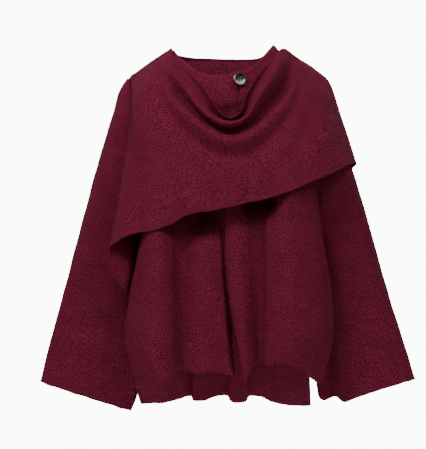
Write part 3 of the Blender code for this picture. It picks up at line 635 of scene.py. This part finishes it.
# Soft ridges and troughs of the fronts. Columns: side (-1 front, 1 back), height, width, path x, z.
# The deep ones are the hollows under the scarf's edge, the dip behind the cowl and the folds
# beside the opening.
FRONT_RIGHT_CREASES = [
    (-1, -72, 32, [(-88, -294), (-46, -284), (-4, -274)]),
    (-1, -13, 5, [(-5, -290), (-5, -330), (0, -400), (6, -455), (14, -520), (18, -580)]),
    (-1, -22, 8, [(8, -470), (16, -530), (19, -592)]),
    (-1, -14, 34, [(-6, -84), (0, -110), (4, -130)]),
    (-1, 1.6, 7, [(-62, -270), (-60, -420), (-57, -560)]),
    (-1, -1.8, 8, [(-78, -290), (-76, -430), (-74, -565)]),
    (-1, 1.2, 6, [(-30, -330), (-27, -450), (-24, -575)]),
    (-1, -1.2, 7, [(-8, -350), (-6, -470), (-2, -575)]),
    (-1, 1.5, 9, [(-146, -330), (-155, -420), (-150, -520)]),
    (-1, -1.6, 8, [(-128, -420), (-122, -520), (-112, -600)]),
    (-1, 1.2, 8, [(-170, -400), (-172, -480), (-160, -580)]),
]
FRONT_LEFT_CREASES = [
    (-1, -50, 23, [(28, -272), (56, -264), (84, -252)]),
    (-1, -14, 34, [(-6, -84), (0, -110), (4, -130)]),
    (-1, -3.2, 4, [(68, -276), (67, -420), (68, -562)]),
    (-1, 1.4, 5, [(24, -330), (30, -430), (40, -560)]),
    (-1, -1.6, 6, [(45, -300), (50, -430), (53, -550)]),
    (-1, 1.4, 9, [(98, -300), (96, -420), (92, -560)]),
    (-1, -1.5, 9, [(132, -330), (138, -440), (128, -560)]),
    (-1, 1.5, 8, [(166, -300), (176, -410), (170, -540)]),
    (-1, -1.2, 7, [(110, -440), (108, -510), (104, -565)]),
]


def front_points(table, kind, sign, neck_from, neck_to, shoulder, u, v):
    end = len(table)
    top = np.empty((len(u), 3))
    at_neck = u <= FRONT_NECK
    top[at_neck] = neck_ring(neck_from + (neck_to - neck_from) * u[at_neck] / FRONT_NECK)[1]
    top[~at_neck] = shoulder_edge(neck_to, shoulder, (u[~at_neck] - FRONT_NECK) / (end - FRONT_NECK))
    columns = []
    for i, row in enumerate(table):
        here = top[np.argmin(abs(u - i))]
        levels = [(x, y, z) for (x, y), z in zip(row[1:6], LEVEL_Z)]
        columns.append([here] + levels + [row[6]])
    columns.append(np.zeros((7, 3)))  # the side edge takes the place of this one
    return panel_points(columns, top, {end: side_edge(kind, sign, v)}, u, v)


def make_front(name, node, table, sign, ends, shoulder, start, creases, flip, seed):
    u = samples([8] * len(table), start=start, end=(0.06, 0.14))
    v = samples(V_COUNTS, end=HEM_ROWS)
    p = front_points(table, node, sign, *ends, shoulder, u, v)
    n = outward(p, flip)
    p = drape(p, n, sewn_fade(p, v, ("last",)), creases, (1.1, 38.0), (0.9, 17.0), seed)
    let_out(p, 1, True, ROUNDING)
    curl(p, n, HEM_CURL)
    let_out(p, 1, False, SEAM_ALLOWANCE)
    let_out(p, 0, True, SEAM_ALLOWANCE, v <= SLIT_FROM)
    hem = hem_distance(p, v, ("hem", "first", "slit last"))
    wide = run_length(p, 0)
    obj = sheet(name, p, wide, run_length(p, 1), hem, front_jersey, flip=flip, border=wide)
    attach(obj, "root")
    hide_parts(node)
    return obj


front_right = make_front(
    "front_right_knit", "front_right", FRONT_RIGHT, -1, (0, NECK_POINT_RIGHT), SHOULDER_RIGHT,
    (0.05, 0.12, 0.19, 0.25), FRONT_RIGHT_CREASES, False, 3.0)
front_left = make_front(
    "front_left_knit", "front_left", FRONT_LEFT, 1, (NECK_END, NECK_POINT_LEFT), SHOULDER_LEFT,
    (0.1, 0.25, 0.4, 0.55), FRONT_LEFT_CREASES, True, 7.0)

# %% [markdown]
# The back carries the same flare as a few soft pleats in its lower half. At the chest it
# is a plain rounded shell, so one formula for its roundness is enough there, and the share
# of the pleats grows level by level down to the hem.

# %% The back
BACK = [
    # fold line, x at the chest, x, y, z at the hem
    ("side right", -167, (-161, 11, -649)), ("turn", -148, (-150, 38, -650)),
    ("panel", -126, (-122, 64, -651)), ("shallow", -103, (-98, 78, -647)),
    ("recess", -78, (-78, 92, -642)), ("pleat back", -62, (-66, 95, -641)),
    ("pleat edge", -58, (-62, 79, -648)), ("pleat", -38, (-42, 79, -648)),
    ("fall", -20, (-22, 96, -642)), ("recess", 4, (2, 100, -639)),
    ("box edge", 12, (10, 83, -650)), ("box", 26, (24, 79, -652)),
    ("box edge", 39, (39, 83, -650)), ("recess", 48, (45, 99, -641)),
    ("flat", 66, (66, 100, -641)), ("fall", 86, (86, 90, -650)),
    ("panel", 110, (109, 79, -655)), ("panel", 133, (131, 64, -656)),
    ("turn", 152, (150, 42, -655)), ("side left", 167, (160, 10, -653)),
]
HALF_CHEST = 167
# At each level: y in the middle, half the width, y at the sides, and the share of the pleats.
BACK_LEVELS = [(86, 176, 44, 0.0), (102, 167, 66, 0.0), (103, 148, 2, 0.12), (100, 147, 2, 0.5),
               (99, 156, 9, 0.78)]
BACK_CREASES = [
    (1, 1.6, 12, [(-140, -70), (-118, -150), (-112, -240)]),
    (1, -1.4, 13, [(-100, -60), (-84, -150), (-80, -260)]),
    (1, -1.6, 12, [(140, -80), (120, -160), (112, -250)]),
    (1, 1.4, 13, [(96, -70), (86, -170), (84, -290)]),
    (1, 1.6, 14, [(-120, -380), (-112, -500), (-108, -620)]),
    (1, -1.4, 12, [(112, -380), (118, -500), (122, -620)]),
    (1, 1.2, 16, [(-30, -40), (10, -52), (50, -40)]),
]


def back_points(u, v):
    last = len(BACK) - 1
    neck_from, neck_to = 4, 15  # between these fold lines the top edge is the neck
    top = np.empty((len(u), 3))
    a, b = u < neck_from, u > neck_to
    c = ~(a | b)
    top[a] = shoulder_edge(NECK_POINT_RIGHT, SHOULDER_RIGHT, 1 - u[a] / neck_from)
    top[c] = neck_ring(NECK_POINT_RIGHT + u[c] - neck_from)[1]
    top[b] = shoulder_edge(NECK_POINT_LEFT, SHOULDER_LEFT, (u[b] - neck_to) / (last - neck_to))
    columns = []
    for i, (_, x_chest, hem) in enumerate(BACK):
        rows = [top[np.argmin(abs(u - i))]]
        for (mid, half, edge, share), z in zip(BACK_LEVELS, LEVEL_Z):
            x = x_chest / HALF_CHEST * half * (1 - share) + hem[0] * share
            s = min(abs(x) / half, 1)
            round_y = edge + (mid - edge) * (1 - s**3.2) ** 0.75
            rows.append((x, round_y * (1 - share) + hem[1] * share, z))
        columns.append(rows + [hem])
    edges = {0: side_edge("back_right", -1, v), last: side_edge("back_left", 1, v)}
    return panel_points(columns, top, edges, u, v)


u = samples([5] * (len(BACK) - 1), start=(0.15, 0.4), end=(0.15, 0.4))
v = samples(V_COUNTS, end=HEM_ROWS)
p = back_points(u, v)
free = sewn_fade(p, v, ("first", "last"))
p = drape(p, outward(p, False), free, BACK_CREASES, (1.2, 42.0), (0.9, 19.0), 11.0)
let_out(p, 1, True, 2 * ROUNDING)
let_out(p, 1, False, SEAM_ALLOWANCE)
let_out(p, 0, False, SEAM_ALLOWANCE, v <= SLIT_FROM)
let_out(p, 0, True, SEAM_ALLOWANCE, v <= SLIT_FROM)
hem = hem_distance(p, v, ("hem", "slit first", "slit last"))
back = sheet("back_knit", p, run_length(p, 0), run_length(p, 1), hem, jersey, flip=False)
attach(back, "root")
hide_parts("back")

# %% [markdown]
# ## Sleeves
# A sleeve is one flat piece, closed into a tube by the underarm seam. It grows wider towards
# the cuff, and hangs nearly flat, so each ring is a thin oval. A grid is wrapped round the
# rings and its two long edges are merged, which is the underarm seam. The left sleeve's inner
# edge is creased and tucked back behind its front, as the photograph shows at the cuff. The
# right sleeve's head swells a little beside the scarf's sewn end.

# %% The two sleeves
SLEEVE_RIGHT = [
    # outer x, z    inner x, z    y  front back tuck
    ((-192, -39), (-155, -317), 4.5, 52, 60, 0),
    ((-198, -48), (-158, -320), 4, 52, 59, 0),
    ((-205, -63), (-163, -326), 4, 52, 58, 0),
    ((-214, -98), (-169, -342), 5, 50, 58, 0),
    ((-234, -162), (-172, -369), 7, 46, 56, 0),
    ((-256, -240), (-173, -407), 10, 42, 52, 0),
    ((-280, -330), (-174, -453), 13, 37, 47, 0),
    ((-304, -420), (-174, -510), 17, 32, 41, 0),
    ((-327, -505), (-171, -572), 20, 28, 36, 0),
    ((-344, -566), (-168, -624), 22, 24, 32, 0),
    ((-354, -608), (-182, -663), 23, 22, 30, 0),
]
SLEEVE_LEFT = [
    ((191, -62), (163, -324), 4, 50, 58, 0),
    ((204, -100), (169, -342), 5, 48, 58, 0),
    ((225, -164), (172, -369), 7, 45, 56, 2),
    ((252, -242), (173, -407), 10, 42, 52, 5),
    ((278, -332), (174, -453), 13, 38, 47, 10),
    ((303, -421), (174, -508), 17, 34, 42, 16),
    ((330, -505), (174, -560), 20, 30, 38, 22),
    ((348, -563), (174, -601), 22, 28, 35, 26),
    ((361, -604), (178, -636), 23, 27, 34, 28),
]
CAP_RISE = (-4.5, 0, 9.0)  # how far the right sleeve swells beside its top seam
CAP_FROM, CAP_OVER = -130, 80  # the swell starts at this z and is full 80 mm higher
# The left sleeve's crease: its place from the outer edge, 0, to the inner edge, 1, its softness,
# and how far the front hangs lower at each place, as a share of the row's tuck.
CREASE, CREASE_SOFT = 0.66, 0.06
CREASE_DIP_AT = [0.0, 0.25, 0.42, 0.54, 0.655, 0.71, 0.84, 0.93, 1.0]
CREASE_DIP = [0.0, 0.0, 0.19, 0.41, 0.68, 0.16, 0.44, 0.20, 0.0]
SLEEVE_RIGHT_CREASES = [
    (-1, 1.8, 9, [(-222, -180), (-262, -330), (-318, -560)]),
    (-1, -1.8, 9, [(-208, -210), (-242, -360), (-290, -600)]),
    (-1, 1.3, 8, [(-192, -300), (-214, -420), (-244, -610)]),
    (-1, -1.5, 8, [(-318, -480), (-330, -540), (-344, -600)]),
    (1, 1.8, 10, [(-214, -160), (-250, -330), (-300, -570)]),
    (1, -1.8, 10, [(-196, -220), (-222, -380), (-256, -600)]),
]
SLEEVE_LEFT_CREASES = [
    (-1, 1.8, 9, [(232, -220), (268, -360), (322, -570)]),
    (-1, -1.8, 9, [(214, -240), (246, -380), (290, -590)]),
    (-1, 1.4, 8, [(196, -320), (214, -430), (240, -600)]),
    (1, 1.8, 10, [(224, -200), (256, -350), (304, -570)]),
    (1, -1.8, 10, [(200, -250), (226, -400), (258, -600)]),
]


def sleeve_points(table, sign, around, rings_at):
    """The armhole is the first ring; each later ring is a flat oval from its table row."""
    front = side_edge("front_left", sign, around)
    rear = side_edge("back_left", sign, around)
    turns = []
    for edge in (front, rear):
        d = line_length(edge)
        turns.append(np.pi * d / d[-1])
    # The grid starts and ends at the underarm, where the seam is.
    rings = [np.vstack([front[::-1], rear[1:]])]
    if sign < 0:
        near_top = np.clip((rings[0][:, 2:] - CAP_FROM) / CAP_OVER, 0, 1)
        rings.append(rings[0] + near_top * CAP_RISE)
    for outer, inner, y, fore, aft, tuck in table:
        o = np.array([outer[0], y, outer[1]], float)
        i = np.array([inner[0], y, inner[1]], float)
        # Round the ring from the underarm: a flat oval, a little squarer than an ellipse.
        ring = []
        for t, depth in [(t, -fore) for t in turns[0][::-1]] + [(t, aft) for t in turns[1][1:]]:
            point = (o + i) / 2 + (o - i) / 2 * np.sign(np.cos(t)) * abs(np.cos(t)) ** 0.9
            point[1] += depth * max(np.sin(t), 0) ** 0.8
            inward = np.clip((t / np.pi - CREASE) / CREASE_SOFT, 0, 1)
            point[1] += tuck * inward * inward * (3 - 2 * inward)
            point[2] -= tuck * np.interp(t / np.pi, CREASE_DIP_AT, CREASE_DIP) * (depth < 0)
            ring.append(point)
        rings.append(np.array(ring))
    rings = np.array(rings)
    at = np.arange(len(rings))
    return np.stack([hermite(at, rings[:, k], rings_at) for k in range(rings.shape[1])])


def make_sleeve(name, node, table, sign, creases, flip, seed):
    around = samples([13, 13, 16])
    rings_at = samples([8] * (len(table) + (sign < 0)), end=(0.05, 0.12, 0.19, 0.26))
    p = sleeve_points(table, sign, around, rings_at)
    free = np.clip(run_length(p, 1) / FADE_ARMHOLE, 0, 1)
    p = drape(p, outward(p, flip, closed=True), free, creases, (1.2, 40.0), (0.9, 18.0), seed)
    let_out(p, 1, True, ROUNDING)
    let_out(p, 1, False, SEAM_ALLOWANCE)
    p[-1] = p[0]
    wide, tall = run_length(p, 0), run_length(p, 1)
    obj = sheet(name, p, wide, tall, tall[:, -1:] - tall, jersey, flip=flip, closed=True)
    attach(obj, "root")
    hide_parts(node)
    return obj


sleeve_right = make_sleeve(
    "sleeve_right_knit", "sleeve_right", SLEEVE_RIGHT, -1, SLEEVE_RIGHT_CREASES, False, 17.0)
sleeve_left = make_sleeve(
    "sleeve_left_knit", "sleeve_left", SLEEVE_LEFT, 1, SLEEVE_LEFT_CREASES, True, 23.0)

# %% [markdown]
# ## The scarf
# The scarf is one long cloth. Its right end is sewn into the right shoulder seam and, folded
# back under itself, into the armhole and side seam. It crosses the chest, sinks into a cowl
# with one deep trough behind a rolled ridge, passes over the left shoulder and hangs free at
# the back. The table's rows run along the cloth from edge to edge, so each fold of the cowl
# is one row. After the creases are in, the cloth is pushed out wherever it would touch the
# back, the sleeves or the trim, and the two fronts are pressed in under it. Its sewn end stays
# where the seam holds it.

# %% Scarf tables
SCARF = [
    ("neck edge", 0, [
        (-103, 4, 27), (-95, -36, 5), (-68, -75, -24), (-38, -102, -60), (-16, -114, -95),
        (5, -121, -112), (26, -116, -100), (38, -107, -64), (67, -81, -21), (105, 5, 24)]),
    ("groove", 1, [
        (-114, 4, 19.5), (-102, -41, -7), (-75, -72, -33), (-43, -92, -73), (-21, -98, -105),
        (6, -104, -117), (31, -99, -108), (46, -94, -70), (73, -76, -27), (112, 5, 26)]),
    ("roll", 2, [
        (-122, 4, 14.5), (-109, -49, -12), (-82, -92, -48), (-51, -117, -90), (-23, -132, -115),
        (6, -141, -123), (36, -133, -112), (57, -120, -78), (84, -95, -38), (120, 5, 21)]),
    ("trough", 3, [
        (-131, 4, 8.5), (-119, -49, -27), (-90, -74, -67), (-58, -92, -99), (-27, -101, -124),
        (8, -105, -138), (43, -101, -125), (72, -84, -99), (102, -58, -66), (128, 5, 14.5)]),
    ("swell", 4, [
        (-143, 4, 1), (-128, -61, -38), (-97, -99, -83), (-63, -120, -115), (-28, -134, -141),
        (10, -142, -154), (50, -135, -140), (84, -120, -109), (116, -90, -68), (139, 5, 6)]),
    ("dip", 5, [
        (-156, 4, -8), (-139, -66, -53), (-105, -95, -106), (-67, -111, -144), (-28, -121, -173),
        (14, -125, -183), (57, -122, -170), (97, -111, -133), (132, -84, -81), (152, 5, -2)]),
    ("chest", 6, [
        (-170, 4, -18.5), (-152, -74, -74), (-114, -107, -132), (-71, -123, -170), (-30, -133, -194),
        (16, -137, -205), (65, -134, -192), (110, -119, -157), (148, -89, -101), (173, 5, -16)]),
    ("shoulder", 7, [
        (-183, 4, -33.5), (-167, -80, -115), (-121, -112, -173), (-74, -128, -205), (-30, -136, -222),
        (17, -139, -229), (73, -137, -216), (123, -121, -184), (168, -92, -131), (197, 7, -38.5)]),
    ("bust", 8, [
        (-176, -45, -92), (-167, -88, -170), (-126, -120, -223), (-78, -133, -238), (-32, -138, -245),
        (17, -141, -248), (80, -140, -234), (136, -124, -207), (183, -93, -159), (215, 8, -91)]),
    ("low", 9, [
        (-188, -74, -198), (-173, -101, -258), (-131, -128, -271), (-80, -137, -264), (-32, -140, -264),
        (17, -142, -262), (87, -142, -246), (145, -125, -221), (194, -93, -185), (233, 8, -145)]),
    ("lower edge", 10, [
        (-216, -92, -351), (-176, -118, -328), (-118, -138, -315), (-67, -140, -290), (-23, -142, -283),
        (21, -144, -273), (93, -145, -256), (152, -127, -232), (202, -96, -211), (248, 8, -193)]),
]
SEAM_END = [
    # at, x, y, z: where the right end is sewn into the shoulder seam and the armhole
    (0, -106, 13, 14), (3, -131, 14, -4), (5, -155, 14, -21), (6.6, -178, 14, -42), (7, -186, 4, -42),
    (7.5, -184, -19, -67), (8, -176, -43, -96),
]
SEWN_TO = 8  # the right end is sewn down above this fold line, folded back below
SHOULDER_SWELL = [(-1, -5, 2), (2, -12, 4)]  # added beside the right end and before the left
SWELL_AT = 0.58  # where the left one stands, from the last column but one
RETURN = [
    # at, points from beside the fold to the sewn edge
    (8.0, [(-176, -43, -92)] * 5),
    (8.5, [(-183, -56, -141), (-181, -55, -142), (-178, -54, -143), (-174, -54, -143), (-170, -54, -143)]),
    (9.0, [(-190, -67, -201), (-186, -65, -205), (-179, -63, -207), (-172, -62, -208), (-164, -60, -208)]),
    (9.5, [(-202, -58, -281), (-195, -50, -292), (-185, -46, -300), (-170, -42, -302), (-155, -26, -298)]),
    (9.75, [(-210, -82, -330), (-203, -79, -345), (-190, -75, -356), (-171, -67, -361), (-155, -20, -368)]),
    (10.0, [(-218, -82, -376), (-213, -80, -398), (-199, -78, -420), (-184, -73, -438), (-156, -20, -445)]),
]
TAIL = [
    # inner edge, outer edge, share of a straight line across
    ((104, 46, 6), (243, 48, -204), 0.12),
    ((99, 92, -44), (233, 80, -228), 0.45),
    ((94, 114, -120), (222, 92, -258), 0.85),
    ((92, 118, -195), (214, 96, -290), 1.0),
    ((90, 116, -262), (208, 94, -322), 1.0),
]
SCARF_CREASES = [
    (-1, -4.0, 12, [(-118, -150), (-110, -210), (-104, -300)]),
    (-1, 1.8, 11, [(-140, -140), (-138, -210), (-136, -300)]),
    (-1, 1.6, 10, [(-86, -170), (-82, -230), (-78, -290)]),
    (-1, -1.4, 9, [(-128, -40), (-112, -80), (-84, -118)]),
    (-1, 1.3, 10, [(150, -60), (120, -130), (70, -176)]),
    (-1, -1.3, 11, [(172, -90), (140, -160), (96, -206)]),
    (-1, 1.2, 12, [(196, -130), (160, -190), (120, -230)]),
    (-1, -1.2, 13, [(60, -190), (20, -214), (-30, -204)]),
    (1, -1.8, 12, [(130, -40), (128, -120), (124, -250)]),
    (1, 1.6, 13, [(160, -60), (158, -150), (152, -270)]),
    (1, -1.4, 12, [(196, -120), (188, -190), (180, -290)]),
]

# %% Scarf shape
BESIDE = 0.85  # a nearest place seen flatter than this is only the cloth's edge


def scarf_points(v):
    """The main cloth, the turned-back layer, and the places in v where the two are joined."""
    at = np.array([row[1] for row in SCARF], float)
    grid = np.array([row[2] for row in SCARF], float)
    rows = np.array([hermite(at, grid[:, k], v) for k in range(grid.shape[1])])
    first = (rows[0] + rows[1]) / 2 + np.array(SHOULDER_SWELL[0])
    last = rows[-2] * (1 - SWELL_AT) + rows[-1] * SWELL_AT + np.array(SHOULDER_SWELL[1])
    seam = np.array(SEAM_END, float)
    sewn = hermite(seam[:, 0], seam[:, 1:], np.minimum(v, SEWN_TO))
    near = rows[0] + (first - rows[0]) * 0.1
    is_sewn = (v < SEWN_TO - 1e-9)[:, None]
    edge = np.where(is_sewn, sewn, rows[0])
    cap = np.where(is_sewn, rows[0], near)
    rows = np.concatenate([edge[None], cap[None], first[None], rows[1:-1], last[None], rows[-1:]])
    crest = rows[-1]
    length = line_length(crest)
    share = (length / length[-1])[:, None]
    tail = []
    for inner, outer, straight in TAIL:
        a, b = np.array(inner, float), np.array(outer, float)
        bent = crest + (a - crest[0]) * (1 - share) + (b - crest[-1]) * share
        tail.append((a + (b - a) * share) * straight + bent * (1 - straight))
    rows = np.concatenate([rows, np.array(tail)])
    u = samples([5] * (len(rows) - 1), end=(0.03, 0.08, 0.13))
    main = np.stack([hermite(np.arange(len(rows)), rows[:, j], u) for j in range(len(v))], axis=1)
    low = np.flatnonzero(~is_sewn[:, 0])
    r_grid = np.array([row[1] for row in RETURN], float)
    back_rows = np.array([hermite([row[0] for row in RETURN], r_grid[:, k], v[low]) for k in range(5)])
    back_rows[:, 0] = main[0, low[0]]
    fold = np.concatenate([main[:1, low], back_rows])
    r_u = samples([3] * 5)
    turned = np.stack([hermite(np.arange(6), fold[:, j], r_u) for j in range(len(low))], axis=1)
    turned[:, 0] = main[0, low[0]]
    return main, turned, low


def cloth_tree(obj):
    """The cloth's middle surface, for finding the nearest place on it."""
    mesh = obj.data
    corners = [v.co * 1000 for v in mesh.vertices]
    return BVHTree.FromPolygons(corners, [tuple(f.vertices) for f in mesh.polygons])


def grid_tree(points):
    """The same for a grid of points whose outer side faces the front."""
    bm = bmesh.new()
    lay_grid(bm, points, points[..., 0], points[..., 1], points[..., 0], flip=True)
    bmesh.ops.scale(bm, vec=(1000, 1000, 1000), verts=bm.verts)
    tree = BVHTree.FromBMesh(bm)
    bm.free()
    return tree


def lay_over(points, below, room, rounds=6, reach=20.0, step=0.7):
    """Moves points out until they clear the outer side of the cloths below."""
    flat = points.reshape(-1, 3).copy()
    for _ in range(rounds):
        for k, p in enumerate(flat):
            for tree in below:
                near, normal, _, gap = tree.find_nearest(tuple(p), reach)
                if near is None:
                    continue
                out = np.array(normal)
                height = np.dot(p - np.array(near), out)
                if height < room and abs(height) > BESIDE * gap:
                    p = p + out * (room - height) * step
            flat[k] = p
    return flat.reshape(points.shape)


def press_in(obj, over, room, rounds=4, reach=30.0):
    """Moves the cloth below inwards wherever the cloth over it comes too close."""
    moved = 0
    for vert in obj.data.vertices:
        p = np.array(vert.co) * 1000
        for _ in range(rounds):
            near, normal, _, gap = over.find_nearest(tuple(p), reach)
            if near is None:
                break
            height = np.dot(p - np.array(near), np.array(normal))
            if height < -room or (abs(height) < BESIDE * gap and gap > 0.5):
                break
            # Straight back where the cloth over it faces the front, else against its normal.
            share = min(max(-normal.y, 0.0), 1.0)
            way = np.array((0, 1, 0)) * share - np.array(normal) * (1 - share)
            # A little further than needed; a slanting way is never made more than 2.5 times as long.
            p = p + way * (room + height + 0.2) / max(-np.dot(way, normal), 0.4)
            moved += 1
        vert.co = p / 1000
    print(obj.name, "pressed in at", moved, "places")


# %% Scarf sheet: the main cloth and the turned-back layer, merged along their fold
OVER = 3.2  # middle of the scarf to middle of the cloth under it
SEWN_END = 20  # over about this distance the right end comes free of its seam
v = samples([6, 6, 7, 7, 7, 7, 7, 7, 8, 10], start=(0.2, 0.4), end=(0.02, 0.05, 0.08))
main, turned, low = scarf_points(v)
free = np.clip(run_length(main, 0) / SEWN_END, 0, 1)
main = drape(main, outward(main, True), free, SCARF_CREASES, (1.2, 44.0), (2.0, 17.0), 31.0)
under = [cloth_tree(obj) for obj in (back, neck_band, sleeve_right, sleeve_left)]
sewn = main.copy()
moved = np.clip(run_length(main, 0) / SEWN_END - 0.3, 0, 1)[..., None]
main = lay_over(main, under, OVER)
main = sewn * (1 - moved) + main * moved
turned = lay_over(turned, [cloth_tree(obj) for obj in (front_right, sleeve_right)], OVER)
turned[0] = main[0, low[0]:]
main_hem = hem_distance(main, v, ("hem", "last"))
turned_hem = run_length(turned, 1)[:, -1:] - run_length(turned, 1)

over = grid_tree(main)
for obj in (front_right, front_left):
    press_in(obj, over, OVER)

bm = bmesh.new()
lay_grid(bm, main, run_length(main, 1), run_length(main, 0), main_hem, flip=True)
lay_grid(bm, turned, run_length(main, 1)[0, low[0]] + run_length(turned, 1), -run_length(turned, 0),
         turned_hem, flip=False)
bmesh.ops.remove_doubles(bm, verts=bm.verts, dist=1e-5)
scarf = finish_cloth("scarf_knit", bm, scarf_jersey, scarf_reverse_painted_shade)
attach(scarf, "root")
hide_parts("scarf")

# %% [markdown]
# ## The horn button
# Real horn is cut from a plate, turned to a dish with a raised rim and polished. Its layers
# show as pale and dark clouds. The imported button already has its shape, so only its material
# is made here: a noise pattern between cream and brown-black under a clear gloss, darkened
# above and towards the viewer's left as painted shade. Two strands
# of waxed sewing thread arch between its four holes.

# %% Polished horn and sewing thread
horn, tree = new_material("polished_dark_horn")
low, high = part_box("button")
middle = (Vector(low) + Vector(high)) / 2
place = add(tree, "ShaderNodeTexCoord").outputs["Object"]
centred = add(tree, "ShaderNodeVectorMath", {0: place, 1: tuple(middle)},
              operation="SUBTRACT").outputs[0]
radius = add(tree, "ShaderNodeVectorMath", {0: centred}, operation="LENGTH").outputs["Value"]
across = add(tree, "ShaderNodeSeparateXYZ", {0: centred})
cloud = add(tree, "ShaderNodeTexNoise",
            {"Vector": place, "Scale": 120.0, "Detail": 3.0, "Distortion": 1.6})
# The heart of the horn is cream below and dark above, and the rim is nearly black all round. The darkening
# above and towards the viewer's left is painted shade, such as a dish gets in light from high on the left.
heart = add(tree, "ShaderNodeMapRange", {0: radius, 1: 0.0085, 2: 0.0108, 3: 0.10, 4: -0.5}).outputs[0]
fall = chain(tree, across.outputs[2], ("MULTIPLY_ADD", -42.0, heart))
fall = chain(tree, across.outputs[0], ("MULTIPLY_ADD", 14.0, fall))
tone = chain(tree, cloud.outputs["Fac"], ("ADD", fall))
layers = add(tree, "ShaderNodeValToRGB", {"Fac": tone})
ramp = layers.color_ramp
ramp.elements[0].position, ramp.elements[0].color = 0.42, linear("#0d0908")
ramp.elements[1].position, ramp.elements[1].color = 0.80, linear("#c9bda6")
brown = ramp.elements.new(0.58)
brown.color = linear("#54433a")
surface(tree, {"Base Color": layers.outputs["Color"], "Roughness": 0.3, "IOR": 1.56,
               "Specular IOR Level": 0.35, "Coat Weight": 0.2, "Coat Roughness": 0.04})
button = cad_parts["button"]
button.material_slots[0].material = horn
print("button box", tuple(low), tuple(high))

thread_material, tree = new_material("waxed_sewing_thread")
place = add(tree, "ShaderNodeTexCoord").outputs["Object"]
twist = add(tree, "ShaderNodeTexWave", {"Vector": place, "Scale": 900.0, "Distortion": 1.0},
            bands_direction="DIAGONAL")
bump = add(tree, "ShaderNodeBump",
           {"Strength": 0.6, "Distance": 0.0001, "Height": twist.outputs["Fac"]})
surface(tree, {"Base Color": linear("#3a1420"), "Roughness": 0.6, "Normal": bump.outputs[0]})

HOLE_STEP = 5.2  # the button's four holes stand in a square
STRAND = 1.2  # thickness of a strand, which is several threads
STRAND_RISE = 0.35  # how high it arches, as a share of a half circle
STRAND_FOOT = 1.0  # how far its ends stand out from the middle of the button
corners = np.array([v.co for v in button.data.vertices])
facing = Vector(np.linalg.svd(corners - corners.mean(axis=0), full_matrices=False)[2][2])
facing = facing if facing.y < 0 else -facing
turn = facing.to_track_quat("Z", "Y").to_matrix().to_4x4()
turn.translation = middle
half = HOLE_STEP / 2000
bm = bmesh.new()
for side in (-1, 1):
    ring = bmesh.ops.create_circle(bm, segments=8, radius=STRAND / 2000)["verts"]
    bmesh.ops.translate(bm, verts=ring, vec=(0, half, 0))
    loop = [edge for edge in bm.edges if edge.verts[0] in ring and edge.verts[1] in ring]
    first = len(bm.verts) - len(ring)
    bmesh.ops.spin(bm, geom=ring + loop, cent=(0, 0, 0), axis=(1, 0, 0), angle=math.pi, steps=12)
    for vert in list(bm.verts)[first:]:
        vert.co.x += side * half
        vert.co.z = abs(vert.co.z) * STRAND_RISE + STRAND_FOOT / 1000
bmesh.ops.recalc_face_normals(bm, faces=bm.faces)
bmesh.ops.transform(bm, matrix=turn, verts=bm.verts)
for face in bm.faces:
    face.smooth = True
thread = place_mesh("button_thread", bm, [thread_material])
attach(thread, "root")
print("button faces", tuple(round(c, 2) for c in facing), "thread faces", len(thread.data.polygons))
